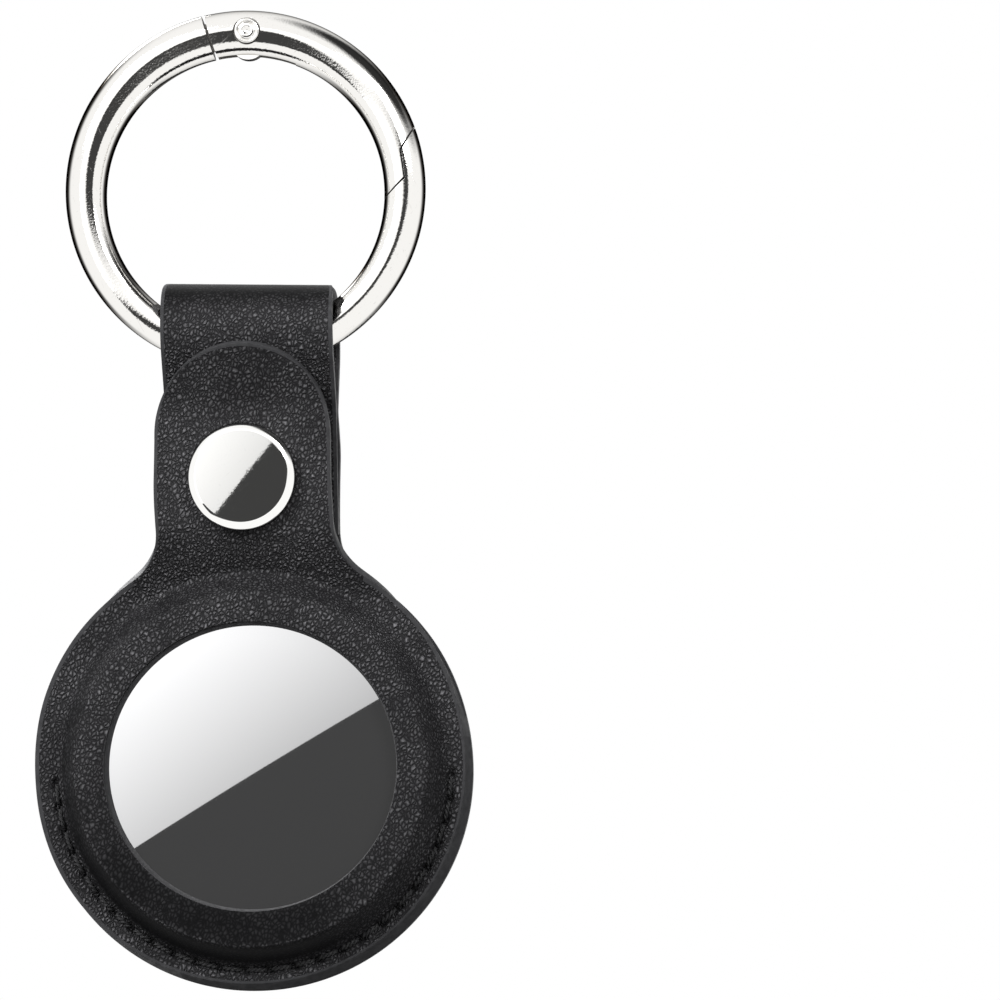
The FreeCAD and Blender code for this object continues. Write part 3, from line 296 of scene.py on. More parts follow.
def tint(tree, share, first, second):
    """A mix of two colours."""
    return wire(tree, "Mix", {0: share, 6: first, 7: second}, 2, data_type="RGBA")


def between(tree, share, first, second):
    """A mix of two numbers."""
    return wire(tree, "Mix", {0: share, 2: first, 3: second})


def relief(tree, height, strength, distance):
    """A normal bent by a height."""
    return wire(tree, "Bump", {"Strength": strength, "Distance": distance, "Height": height})


def group_of(name, inputs, outputs):
    """An empty shader node group with named inputs and outputs, and its two end nodes."""
    tree = bpy.data.node_groups.new(name, "ShaderNodeTree")
    for label, kind in inputs.items():
        tree.interface.new_socket(label, in_out="INPUT", socket_type=kind)
    for label in outputs:
        tree.interface.new_socket(label, in_out="OUTPUT", socket_type="NodeSocketFloat")
    return tree, tree.nodes.new("NodeGroupInput"), tree.nodes.new("NodeGroupOutput")


def placed(tree, group, places):
    """The outputs of a node group that is set into a material."""
    return wire(tree, "Group", places, node_tree=group).node.outputs


# %% [markdown]
# ## Pebble grain
# Full grain leather is a net of tiny cushions with creases between them, drawn out a little in one
# direction by the stretch of the hide. An image would do, but it would need a flat layout. Cells of a
# Voronoi texture, bent by noise and drawn out along a leaning line, give the same net in space, so that the
# strap, the tab and the pocket all carry one unbroken grain. The group gives the height of the cushions and
# how light their crests are painted, which paints a highlight on the crests and shade in the creases.

# %% Pebble grain group
CUSHIONS_PER_METRE = 2900.0
HIDE_TURN = (0.1, 0.35, 0.1)
HIDE_STRETCH = 1.4
SWIRL = 1.2
FINE_GRAIN = 0.08
SHADE_SPAN, SHADE_BASE = 0.68, 0.06
PATCH_SCALE, PATCH_LEAST = 170.0, 0.55
IRONED_GRAIN = 0.06
grain, grain_in, grain_out = group_of(
    "pebble_grain", {"Vector": "NodeSocketVector", "Smoothness": "NodeSocketFloat"}, ("Height", "Crest_shading"))
spot = grain_in.outputs["Vector"]
scaled = enlarge(grain, drawn_out(grain, spot, HIDE_TURN, HIDE_STRETCH), CUSHIONS_PER_METRE)
swirl = steer(grain, "SUBTRACT", speckle(grain, scaled, 0.5, 2.0, "Color"), (0.5, 0.5, 0.5))
bent = steer(grain, "ADD", scaled, enlarge(grain, swirl, SWIRL))
cells = wire(grain, "TexVoronoi", {"Vector": bent, "Scale": 1.0}, "Distance", feature="DISTANCE_TO_EDGE")
cushion = ease(grain, cells, -0.02, 0.5)
rough_cushion = reckon(grain, "MULTIPLY_ADD", speckle(grain, scaled, 2.3, 3.0), FINE_GRAIN, cushion)
shade = reckon(grain, "MULTIPLY_ADD", cushion, SHADE_SPAN, SHADE_BASE)
patch = ease(grain, speckle(grain, spot, PATCH_SCALE, 2.0), *MID_NOISE, PATCH_LEAST, 1.0)
kept = ramp(grain, grain_in.outputs["Smoothness"], 0.0, 1.0, 1.0, IRONED_GRAIN)
depth = reckon(grain, "MULTIPLY", kept, patch)
fill(grain, grain_out, {"Height": reckon(grain, "MULTIPLY", rough_cushion, depth),
                        "Crest_shading": reckon(grain, "MULTIPLY", shade, depth)})
print(grain.name, "nodes", len(grain.nodes))

# %% [markdown]
# ## Fine scratches
# Plated metal picks up hairlines from keys, and its plating is finely pitted. The hairlines are noise drawn
# out thirty times in two directions, of which only the brightest threads are kept. The pits are plain fine
# noise. The group gives masks and heights, and each metal decides how much of them it shows.

# %% Fine scratches group
HAIRLINE_SCALE = 6000.0
HAIRLINE_STRETCH = 30.0
HAZE_SCALE = 120.0
PIT_SCALE = 5200.0
scratch, scratch_in, scratch_out = group_of(
    "fine_scratches", {"Vector": "NodeSocketVector"}, ("Mask", "Haze", "Pits"))
spot = scratch_in.outputs["Vector"]
threads = []
for turned in ((0.2, 0.9, 0.1), (0.1, -0.5, 0.3)):
    laid = drawn_out(scratch, spot, turned, HAIRLINE_STRETCH)
    threads.append(ramp(scratch, speckle(scratch, laid, HAIRLINE_SCALE, 2.0), 0.66, 0.74))
fill(scratch, scratch_out, {"Mask": reckon(scratch, "MAXIMUM", *threads),
                            "Haze": speckle(scratch, spot, HAZE_SCALE, 4.0),
                            "Pits": speckle(scratch, spot, PIT_SCALE, 2.0)})
print(scratch.name, "nodes", len(scratch.nodes))

# %% [markdown]
# ## Black leather and its painted edge
# The hide is dyed black. Its crests are painted lighter, partly as wear and partly as a painted highlight,
# and its creases are painted dark as painted shade; the relief of the cushions does the rest. Where the
# leather is stretched over the pocket's wall or bent round the loop, its grain is ironed flat. Each mesh
# carries that as an attribute named ironed. The cut edge is sealed with satin edge paint, whose lighter
# tone is partly a painted highlight along the edge.

# %% Leather finishes
# The creases are painted dark as painted shade, and the crests lighter, partly as wear and partly as a
# painted highlight.
PAINTED_CREASE_SHADE = (0.004, 0.004, 0.0044, 1)
CREST_WEAR_AND_HIGHLIGHT = (0.33, 0.326, 0.342, 1)
GRAIN_DEPTH = 0.00028
IRONED_GLOSS = 0.46


def leather_finish():
    """Black grained leather that goes smooth where the attribute ironed says so."""
    material, tree = finish("black_leather", (0.02, 0.02, 0.021), 0.5, Specular_IOR_Level=0.035)
    ironed = wire(tree, "Attribute", {}, "Fac", attribute_name="ironed")
    pebbles = placed(tree, grain, {"Vector": own_place(tree), "Smoothness": ironed})
    gloss = ramp(tree, pebbles["Crest_shading"], 0.0, 1.0, 0.60, 0.42)
    drive(tree, Base_Color=tint(tree, pebbles["Crest_shading"], PAINTED_CREASE_SHADE, CREST_WEAR_AND_HIGHLIGHT),
          Roughness=between(tree, ironed, gloss, IRONED_GLOSS),
          Normal=relief(tree, pebbles["Height"], 1.0, GRAIN_DEPTH))
    return material


def fibre_finish(name, colour, roughness, sheen, scale, detail, dark, light, strength, depth, gloss=None):
    """Fine fibres that change the tone and the relief, and the gloss where a range of it is given."""
    material, tree = finish(name, colour, roughness, Specular_IOR_Level=sheen)
    fibres = speckle(tree, own_place(tree), scale, detail)
    drive(tree, Base_Color=tint(tree, fibres, dark, light), Normal=relief(tree, fibres, strength, depth))
    if gloss:
        drive(tree, Roughness=ramp(tree, fibres, *MID_NOISE, *gloss))
    return material


LEATHER = leather_finish()
# The edge paint's light tone is partly a painted highlight along the cut edges.
EDGE = fibre_finish("edge_paint_and_highlight", (0.018, 0.018, 0.019), 0.5, 0.03, 1400.0, 3.0,
                    (0.035, 0.035, 0.037, 1), (0.085, 0.085, 0.089, 1), 0.5, 0.00004, (0.58, 0.44))
print("finishes", LEATHER.name, EDGE.name)

# %% [markdown]
# ## Metals, plastics and the rest
# One function makes every metal, from mirror steel to plain spring wire: only the tint, the gloss and how
# far the scratches show differ. Another makes the moulded and rubber pieces, with a faint cloudiness in
# their gloss. The ring's nickel also has a painted reflection: its left and right edges are painted dark
# where they turn away from the eye.

# %% Metal and plastic finishes
# The dark that is painted into the ring's edges as a painted reflection.
PAINTED_REFLECTION_DARK = (0.08, 0.077, 0.074, 1)
FADED = 0.8


def metal_finish(name, colour, low, high, scratch_gloss, pit_depth, rim=0.6, metallic=1.0):
    """Metal whose gloss wanders between two values, with hairlines, pits and darker grazing edges."""
    material, tree = finish(name, colour, low, metallic, Specular_Tint=(rim, rim, rim, 1))
    marks = placed(tree, scratch, {"Vector": own_place(tree)})
    clouded = ramp(tree, marks["Haze"], *MID_NOISE, low, high)
    dull = tuple((1 - scratch_gloss) * part for part in colour)
    drive(tree, Base_Color=tint(tree, marks["Mask"], (*colour, 1), (*dull, 1)),
          Roughness=reckon(tree, "MULTIPLY_ADD", marks["Mask"], scratch_gloss, clouded))
    if pit_depth:
        drive(tree, Normal=relief(tree, marks["Pits"], 1.0, pit_depth))
    return material


def painted_dark_edges(material):
    """Paint a dark reflection into a ring's colour along its left and right edges, where they turn away from
    the eye.
    """
    tree = material.node_tree
    plain = tree.nodes["Principled BSDF"].inputs["Base Color"].links[0].from_socket
    way = steer(tree, "NORMALIZE", steer(tree, "MULTIPLY", own_place(tree), (1, 0, 1)))
    across = steer(tree, "DOT_PRODUCT", way, (1, 0, 0), out="Value")
    beside = ease(tree, reckon(tree, "ABSOLUTE", across), 0.45, 0.85)
    edge = ease(tree, wire(tree, "LayerWeight", {"Blend": 0.5}, "Facing"), 0.33, 0.50)
    drive(tree, Base_Color=tint(tree, reckon(tree, "MULTIPLY", beside, edge), plain, PAINTED_REFLECTION_DARK))


def moulded_finish(name, colour, low, high, cloud_scale=300.0):
    """Moulded plastic or rubber with a cloudy gloss and a faint drift of tone."""
    material, tree = finish(name, colour, low)
    cloud = speckle(tree, own_place(tree), cloud_scale, 3.0)
    faded = tuple(FADED * part for part in colour)
    drive(tree, Base_Color=tint(tree, cloud, (*faded, 1), (*colour, 1)),
          Roughness=ramp(tree, cloud, *MID_NOISE, low, high))
    return material


NICKEL = metal_finish("bright_nickel", (0.93, 0.915, 0.885), 0.04, 0.08, 0.14, 8e-6, 0.05)
# The ring's nickel gets a painted dark reflection along its left and right edges.
painted_dark_edges(NICKEL)
CAP_NICKEL = metal_finish("polished_nickel", (0.97, 0.965, 0.945), 0.015, 0.03, 0.03, 3e-7, 0.05)
SAWN = metal_finish("sawn_nickel", (0.30, 0.29, 0.275), 0.40, 0.55, 0.1, 4e-6)
MIRROR = metal_finish("mirror_steel", (0.70, 0.70, 0.705), 0.010, 0.016, 0.0, 0.0, metallic=0.97)
SNAP_STEEL = metal_finish("pressed_steel", (0.68, 0.67, 0.65), 0.18, 0.30, 0.12, 4e-6)
SPRING = metal_finish("spring_wire", (0.50, 0.50, 0.52), 0.22, 0.35, 0.12, 3e-6)
CELL = metal_finish("cell_steel", (0.66, 0.66, 0.67), 0.22, 0.32, 0.10, 3e-6)
MAGNET = metal_finish("plated_magnet", (0.45, 0.45, 0.47), 0.25, 0.40, 0.10, 3e-6)
CONTACT = metal_finish("gold_contact", (0.80, 0.60, 0.28), 0.22, 0.34, 0.10, 3e-6)
WHITE = moulded_finish("white_gloss", (0.82, 0.82, 0.80), 0.16, 0.26)
DARK = moulded_finish("dark_moulding", (0.05, 0.05, 0.055), 0.42, 0.60)
RUBBER = moulded_finish("seal_rubber", (0.035, 0.035, 0.038), 0.65, 0.85, 700.0)
BOARD = moulded_finish("solder_mask", (0.03, 0.16, 0.08), 0.28, 0.40)
print("finishes", len(bpy.data.materials))

# %% [markdown]
# ## The ring and its gate
# The carrying ring is cast as one round bar, a little thicker at the top, and then a gate is cut out of it.
# The bar is a circle spun about the ring's axis. Its highest line lies a little inside the middle, and its
# bore lies half a millimetre low, so every point moves by its share of the way from the outside to the
# bore. The polishing wheel has left a shallow flat at the upper left. The Z-shaped latch and the slanted
# hinge end are cut by one flat outline, once with gaps for the body and once without for the gate.

# %% Ring bar
RING_OUTER = 17.65
RING_WIRE = 4.05
RING_MIDDLE = RING_OUTER - RING_WIRE / 2
BORE_DROP = 0.5
APEX_SHIFT = 0.15
FLAT_LEAN = math.radians(-10)
FLAT_LEAST = 0.004
FLAT_MORE = 0.066
FLAT_STARTS, FLAT_ENDS = (50, 85), (182, 130)
PIN = (0.57, 15.3646)


def flat_depth(angle):
    """How deep the polishing wheel has flattened the bar at an angle round the ring, in degrees."""
    return FLAT_LEAST + FLAT_MORE * soft_step(*FLAT_STARTS, angle) * soft_step(*FLAT_ENDS, angle)


def ring_bar():
    """The whole ring as a closed bar."""
    bm = bmesh.new()
    start = Matrix.Translation((RING_MIDDLE, 0, 0))
    bmesh.ops.create_circle(bm, segments=88, radius=RING_WIRE / 2, matrix=start)
    spin_round(bm, 300)
    for vert in bm.verts:
        reach = math.hypot(vert.co.x, vert.co.z)
        closer = 1 - APEX_SHIFT * (2 * vert.co.y / RING_WIRE) ** 2 / reach
        vert.co.x *= closer
        vert.co.z *= closer
        reach *= closer
        depth = flat_depth(math.degrees(math.atan2(vert.co.z, vert.co.x)) % 360)
        proud = (reach - RING_MIDDLE) * math.sin(FLAT_LEAN) + abs(vert.co.y) * math.cos(FLAT_LEAN)
        cut = max(proud - RING_WIRE / 2 + depth, 0.0)
        flatter = 1 - cut * math.sin(FLAT_LEAN) / reach
        vert.co.x *= flatter
        vert.co.z *= flatter
        vert.co.y -= math.copysign(cut * math.cos(FLAT_LEAN), vert.co.y)
        reach *= flatter
        inward = (RING_OUTER - reach) / RING_WIRE
        vert.co.y *= 1 + BORE_DROP * vert.co.z / reach / RING_WIRE
        vert.co.z -= BORE_DROP * inward
    return bm


# %% Outline of the gate
LIP, STEP_TOP, STEP_LOW, TOE = (math.radians(a) for a in (21.7, 12.3, 2.4, -11.5))
GATE_END = PIN[0] - 3.75
END_REACH = 3.3
END_LEAN = math.tan(math.radians(17)) * END_REACH
FAR = 22.0


def gate_outline(end_gap, latch_gap):
    """The region of the ring's plane that belongs to the gate, with gaps at the hinge and at the latch."""
    back = latch_gap / RING_MIDDLE
    step = RING_MIDDLE + latch_gap
    lip = polar(RING_OUTER + 1, LIP - back)
    end = GATE_END - end_gap
    return [polar(RING_OUTER - RING_WIRE - 1, TOE - back), polar(step, STEP_LOW - back),
            polar(step, STEP_TOP - back), lip, (FAR, lip[1]), (FAR, FAR), (end - END_LEAN, FAR),
            (end - END_LEAN, PIN[1] + END_REACH), (end + END_LEAN, PIN[1] - END_REACH)]


def circle_outline(across, up, radius, steps=48):
    """A round outline of (across, up) points."""
    return [polar(radius, math.tau * k / steps, across, up) for k in range(steps)]


# %% Ring body with its tongue
HINGE_GAP = 0.3
LATCH_GAP = 0.14
THROUGH = 4.0
TONGUE_HALF = 0.7
TONGUE_REACH = 1.35
TONGUE_HOLE = 0.85
SMALL_EDGE = 0.07


def tongue_outline():
    """The flat tongue that follows the ring from the body to the pivot."""
    reach = math.hypot(*PIN)
    angles = [math.radians(90 + k) for k in range(-1, 18, 2)]
    upper = [polar(reach + TONGUE_REACH, angle) for angle in angles]
    lower = [polar(reach - TONGUE_REACH, angle) for angle in angles]
    return upper + lower[::-1]


def crisp_edges(piece):
    """Shade a cut piece, and break its cut edges with a narrow bevel, so that they catch the light."""
    soften(piece)
    bevel = piece.modifiers.new("broken_edges", "BEVEL")
    bevel.width = SMALL_EDGE * MM
    bevel.segments = 2
    bevel.limit_method = "ANGLE"
    bevel.angle_limit = math.radians(40)


carry_ring = finished("carry_ring", ring_bar(), NICKEL)
carve(carry_ring, "DIFFERENCE", plate(gate_outline(HINGE_GAP, LATCH_GAP), -THROUGH, THROUGH), SAWN)
carve(carry_ring, "UNION", plate(tongue_outline(), -TONGUE_HALF, TONGUE_HALF), SAWN)
for drop, radius, slimmer in ((0.0, 1.45, 0.01), (0.9, 1.73, 0.02)):
    lobe = plate(circle_outline(PIN[0], PIN[1] - drop, radius), slimmer - TONGUE_HALF, TONGUE_HALF - slimmer)
    carve(carry_ring, "UNION", lobe, NICKEL)
carve(carry_ring, "DIFFERENCE", plate(circle_outline(*PIN, TONGUE_HOLE), -THROUGH / 2, THROUGH / 2), SAWN)
crisp_edges(carry_ring)
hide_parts("ring_body")
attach(carry_ring, "ring")

# %% Gate with its fork
FORK_HALF = 0.78
FORK_END = PIN[0] + 4.6
FORK_ROOF = 16.945
FORK_FLOOR = 11.0
CHEEK_HOLE = 0.81
HEAD_SEAT = 1.34
SEAT_LEVEL = 1.72


def fork_outline():
    """The slot between the fork's cheeks: open below and at the hinge end, closed by a roof."""
    left = GATE_END - END_LEAN - 1
    roof = [(FORK_END + (left - FORK_END) * k / 16) for k in range(17)]
    floor_ends = [(left, FORK_FLOOR), (FORK_END, FORK_FLOOR)]
    return floor_ends + [(x, math.sqrt(FORK_ROOF ** 2 - x * x)) for x in roof]


sprung_gate = finished("sprung_gate", ring_bar(), NICKEL)
carve(sprung_gate, "INTERSECT", plate(gate_outline(0.0, 0.0), -THROUGH, THROUGH), SAWN)
carve(sprung_gate, "DIFFERENCE", plate(fork_outline(), -FORK_HALF, FORK_HALF), SAWN)
carve(sprung_gate, "DIFFERENCE", plate(circle_outline(*PIN, CHEEK_HOLE), -THROUGH, THROUGH), SAWN)
for low, high in ((SEAT_LEVEL, THROUGH), (-THROUGH, -SEAT_LEVEL)):
    carve(sprung_gate, "DIFFERENCE", plate(circle_outline(*PIN, HEAD_SEAT, 64), low, high), SAWN)
crisp_edges(sprung_gate)
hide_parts("ring_gate")
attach(sprung_gate, "gate")

# %% [markdown]
# ## The pivot rivet and the closing coil
# The rivet's front end is a tube that was spread with a ring punch, which leaves two rings round a dimple.
# Its back end is a plain dome. The coil behind it is wire wound round a line: a small circle is spun about
# that line while it also moves along it.

# %% Pivot rivet
PIN_FACE = 2.395
pivot_rivet = finished("pivot_rivet", lathe([
    (0, -PIN_FACE - 0.12), (0.55, -PIN_FACE - 0.09, 0.2), (1.16, -PIN_FACE + 0.16, 0.12), (1.225, -1.94),
    (0.8, -1.94), (0.8, 1.94), (1.225, 1.94), (1.225, PIN_FACE - 0.04, 0.12), (1.0, PIN_FACE, 0.08),
    (0.86, PIN_FACE - 0.16, 0.05), (0.72, PIN_FACE - 0.02, 0.05), (0.45, PIN_FACE + 0.02, 0.1),
    (0.18, PIN_FACE - 0.2, 0.1), (0, PIN_FACE - 0.24)], steps=64, across=PIN[0], up=PIN[1]), NICKEL)
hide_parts("gate_pivot_pin")
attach(pivot_rivet, "gate")

# %% Closing coil
COIL_TURNS = 4
COIL_WIRE = 0.18
coil_low, coil_high = (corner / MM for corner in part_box("gate_spring"))
coil_radius = (coil_high.y - coil_low.y) / 2 - COIL_WIRE / 2
coil_run = coil_high.x - coil_low.x - COIL_WIRE
coil_middle = (coil_low + coil_high) / 2


def closing_coil_mesh():
    """A wire section spun about a line along X while it moves along it."""
    bm = bmesh.new()
    start = Vector((coil_low.x + COIL_WIRE / 2, coil_middle.y + coil_radius, coil_middle.z))
    bmesh.ops.create_circle(bm, cap_ends=True, segments=10, radius=COIL_WIRE / 2,
                            matrix=Matrix.Translation(start))
    steps = 24 * COIL_TURNS
    bmesh.ops.spin(bm, geom=bm.verts[:] + bm.edges[:] + bm.faces[:], cent=start - Vector((0, coil_radius, 0)),
                   axis=(1, 0, 0), dvec=(coil_run / steps, 0, 0), angle=math.tau * COIL_TURNS, steps=steps,
                   use_merge=False, use_duplicate=False)
    return bm


closing_coil = finished("closing_coil", closing_coil_mesh(), SPRING)
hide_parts("gate_spring")
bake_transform(closing_coil)

# %% [markdown]
# ## Cutting the leather
# Both leathers start as flat blanks: a disc, a neck with rounded corners and a strap or tab. A blank could
# be a filled outline, but its faces would bend badly. So it grows in rows: rings are extruded outwards from
# a small circle to the disc's edge, and then the top arc is extruded upwards, row by row, between the two
# sides. The rows are relaxed, so that no face is pinched. A mould function then says where each place ends
# up in space.

# %% Blank of a leather piece
DISC_RADIUS = 21.2
NECK_FILLET = 5.6
NECK_COLUMNS = 48
DISC_COLUMNS = 336
RELAX_ROUNDS = 40


def flat_spot(radius, angle, up=0.0):
    """A place on a circle in the plane of X and Z."""
    x, z = polar(radius, angle, up=up)
    return Vector((x, 0, z))


def next_row(bm, row, spots, closed):
    """Extrude a row of vertices once and put the new row on its spots."""
    pairs = list(zip(row, row[1:])) + ([(row[-1], row[0])] if closed else [])
    grown = bmesh.ops.extrude_edge_only(bm, edges=[bm.edges.get(pair) for pair in pairs])["geom"]
    twins = {tuple(vert.co): vert for vert in grown if isinstance(vert, bmesh.types.BMVert)}
    fresh = [twins[tuple(vert.co)] for vert in row]
    for vert, spot in zip(fresh, spots):
        vert.co = spot
    return fresh


def neck_side(half, straight_end, round_end, share):
    """A point on the right side: along the rounded corner, straight up, then round the end by an angle."""
    reach = DISC_RADIUS + NECK_FILLET
    centre = Vector((half + NECK_FILLET, 0, math.sqrt(reach ** 2 - (half + NECK_FILLET) ** 2)))
    first = math.atan2(-centre.z, -centre.x) + math.tau
    arc = (first - math.pi) * NECK_FILLET
    straight = straight_end - centre.z
    along = share * (arc + straight + half * round_end)
    if along < arc:
        return centre + flat_spot(NECK_FILLET, first - along / NECK_FILLET)
    if along < arc + straight:
        return Vector((half, 0, centre.z + along - arc))
    return flat_spot(half, (along - arc - straight) / half, straight_end)


def leather_blank(first_radius, filled, rings, half, straight_end, round_end, rows, top_spot):
    """A flat blank in the plane of X and Z about the disc's centre."""
    bm = bmesh.new()
    neck_angle = math.asin(neck_side(half, straight_end, round_end, 0).x / DISC_RADIUS)
    angles = [math.pi / 2 - neck_angle + 2 * neck_angle * k / NECK_COLUMNS for k in range(NECK_COLUMNS)]
    rest = math.tau - 2 * neck_angle
    angles += [math.pi / 2 + neck_angle + rest * k / DISC_COLUMNS for k in range(DISC_COLUMNS)]
    row = bmesh.ops.create_circle(bm, cap_ends=filled, segments=len(angles), radius=first_radius)["verts"]
    for vert, angle in zip(row, angles):
        vert.co = flat_spot(first_radius, angle)
    for radius in rings:
        row = next_row(bm, row, [flat_spot(radius, angle) for angle in angles], True)
    row = row[:NECK_COLUMNS + 1]
    bottom = [vert.co.copy() for vert in row]
    top = [top_spot(k / NECK_COLUMNS) for k in range(NECK_COLUMNS + 1)]
    inner = []
    for count in range(1, rows + 1):
        v = count / rows
        right = neck_side(half, straight_end, round_end, v)
        left = Vector((-right.x, 0, right.z))
        spots = []
        for k in range(NECK_COLUMNS + 1):
            u = k / NECK_COLUMNS
            edge_low = bottom[0].lerp(bottom[-1], u)
            edge_high = top[0].lerp(top[-1], u)
            spots.append(bottom[k].lerp(top[k], v) + right.lerp(left, u) - edge_low.lerp(edge_high, v))
        row = next_row(bm, row, spots, False)
        inner += row[1:-1] if count < rows else []
    for _ in range(RELAX_ROUNDS):
        bmesh.ops.smooth_vert(bm, verts=inner, factor=0.5, use_axis_x=True, use_axis_y=True, use_axis_z=True)
    return bm


# %% [markdown]
# ## Wall, edge and needle holes
# A moulded leather piece gets its thickness last: the blank is pressed to shape, then solidify gives it a
# wall, and the two rims are bevelled round like a burnished edge. The line of stitches pulls the leather
# in, so the press also sinks a groove there, with a small slanting pit at every needle hole. Use has made
# the shoulders a little fuller than a circle.

# %% Press and thicken
THICKNESS = 1.3
EDGE_ROUND = 0.26
STITCH_RADIUS = 19.2
STITCHES = 25
STITCH_ARC = math.radians(176)
GROOVE_DEPTH, GROOVE_HALF = 0.12, 0.42
PIT_DEPTH, PIT_LENGTH, PIT_WIDTH = 0.55, 0.5, 0.27
SLIT_COSINE, SLIT_SINE = 0.9, 0.44
SINK_REACH = 1.2
PULL_GAIN, PULL_MOST = 4.0, 0.6
CUT_START, CUT_RUN, CUT_MOST = 19.6, 1.6, 0.75
CUT_WAY, CUT_FADE = (0.64, -0.77), (-0.35, 0.95)
SHOULDER_OUT, SHOULDER_RISE = 0.28, 0.55
SHOULDER_RIM, SHOULDER_FADE = (15.5, 19.5), (34.0, 24.0)
SHOULDER_SIDE, SHOULDER_TOP, LEFT_SIDE = (-2.0, 8.0), (-2.0, 13.0), (0.0, -12.0)
PAINTED_FROM = 16
disc_up = (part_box("tag_cover")[0].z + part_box("tag_cover")[1].z) / 2 / MM
stitch_angles = [-math.pi / 2 - STITCH_ARC / 2 + STITCH_ARC * k / STITCHES for k in range(STITCHES + 1)]


def stitch_sink(x, s):
    """How deep the stitching pulls the leather in at a place of the flat blank."""
    off = math.hypot(x, s) - STITCH_RADIUS
    if abs(off) > SINK_REACH:
        return 0.0
    angle = math.atan2(s, x)
    angle = angle if angle < math.pi / 2 else angle - math.tau
    inside = soft_step(STITCH_ARC / 2 + 0.05, STITCH_ARC / 2 - 0.02, abs(angle + math.pi / 2))
    groove = GROOVE_DEPTH * math.exp(-(off / GROOVE_HALF) ** 2)
    place = (angle - stitch_angles[0]) / STITCH_ARC * STITCHES
    gap = (place - round(place)) * STITCH_ARC / STITCHES * STITCH_RADIUS
    slit_along = SLIT_COSINE * gap + SLIT_SINE * off
    slit_across = SLIT_COSINE * off - SLIT_SINE * gap
    pit = PIT_DEPTH * math.exp(-(slit_along / PIT_LENGTH) ** 2 - (slit_across / PIT_WIDTH) ** 2)
    return inside * (groove + pit)


def pulled_flat(sink):
    """How far the pull of the stitches irons the grain flat."""
    return min(sink * PULL_GAIN, PULL_MOST)


def slanted_cut(x, s):
    """How far the front leather's face stops short of the disc's edge: the edge is sanded slanting."""
    reach = math.hypot(x, s)
    toward = (CUT_WAY[0] * x + CUT_WAY[1] * s) / reach
    return CUT_MOST * soft_step(*CUT_FADE, toward) if CUT_START < reach < DISC_RADIUS + 0.05 else 0.0


def settled(x, s):
    """How far a place of the blank has crept sideways and up in use, at the shoulders of the pocket."""
    rim = soft_step(*SHOULDER_RIM, math.hypot(x, s))
    below_neck = soft_step(*SHOULDER_FADE, s)
    left = SHOULDER_OUT * soft_step(*SHOULDER_SIDE, s) * soft_step(*LEFT_SIDE, x) * below_neck
    return -rim * left, rim * SHOULDER_RISE * soft_step(*SHOULDER_TOP, s) * below_neck


def wander(x, s, *waves):
    """The unevenness of hand work: a sum of noise waves of (seed, pitch, height)."""
    return sum(noise.noise(Vector((x, seed, s)) * pitch) * height for seed, pitch, height in waves)


def pressed(name, bm, mould, side):
    """Press a blank with a mould, give it its wall, round its rims, and paint its cut edges."""
    ironed = bm.verts.layers.float.new("ironed")
    bmesh.ops.recalc_face_normals(bm, faces=bm.faces)
    if bm.faces[0].normal.y * side < 0:
        bmesh.ops.reverse_faces(bm, faces=bm.faces)
    for vert in bm.verts:
        vert.co, vert[ironed] = mould(vert.co.x, vert.co.z)
    bm.normal_update()
    face_side = set(bm.faces)
    borders = [edge for edge in bm.edges if edge.is_boundary]
    for edge in borders:
        if math.hypot(edge.verts[0].co.x, edge.verts[0].co.z - disc_up) > PAINTED_FROM:
            edge.link_faces[0].material_index = 1
    bmesh.ops.solidify(bm, geom=bm.faces[:], thickness=THICKNESS)
    rims = {face for edge in borders for face in edge.link_faces if face not in face_side}
    border_verts = {vert for edge in borders for vert in edge.verts}
    for face in rims:
        face.material_index = 1
    for vert in {vert for face in rims for vert in face.verts} - border_verts:
        x, s = vert.co.x, vert.co.z - disc_up
        grown = DISC_RADIUS / math.hypot(x, s)
        if slanted_cut(x, s) > 0:
            vert.co.x = x * grown
            vert.co.z = disc_up + s * grown
    corners = {edge for face in rims for edge in face.edges if any(f not in rims for f in edge.link_faces)}
    rounded = bmesh.ops.bevel(bm, geom=list(corners), offset=EDGE_ROUND, offset_type="OFFSET", segments=3,
                              profile=0.5, affect="EDGES", material=-1, clamp_overlap=True)
    for face in rounded["faces"]:
        face.material_index = 1
    return finished(name, bm, LEATHER, EDGE)


# %% [markdown]
# ## The front leather
# The front leather is one piece. Its lower half is stitched down and its upper half is the flap with the
# snap. The mould raises a soft walled ring round the window, lets the neck climb over the snap, and leans
# the tab's end out over the strap's loop.

# %% Front leather
FLANGE_FRONT = 1.35
PLATEAU = 4.75
BULGE_END = 19.0
WINDOW_RADIUS = 14.2
WINDOW_RISE, WINDOW_STRETCH = 0.38, 0.23
TAB_HALF = 8.5
TAB_FRONT = 4.65
TAB_TOP = 41.15
TAB_ASIDE = 0.27
LEAN_START = 34.8
LEAN_EASE = 1.7
LEAN_SLOPE = 0.294
CLIMB = (15.5, 23.6)
TAB_ROOT = (20.0, 28.0)
TAB_TIP = (33.0, 37.0)
WALL_TOP = 16.8
CROWN_START, CROWN_RUN, CROWN_DROP = 15.4, 1.2, 0.06
WALL_IRONED, WALL_GRAINED = (16.7, 17.2), (18.3, BULGE_END)
LOWER_SIDE, RIGHT_SIDE = (6.0, -12.0), (0.3, 0.8)
WINDOW_EDGE = (17.0, 14.6)
# The tab's tip is made smoother towards its top, which also renders it darker there.
PLATEAU_IRONED, TIP_IRONED = 0.92, 0.35


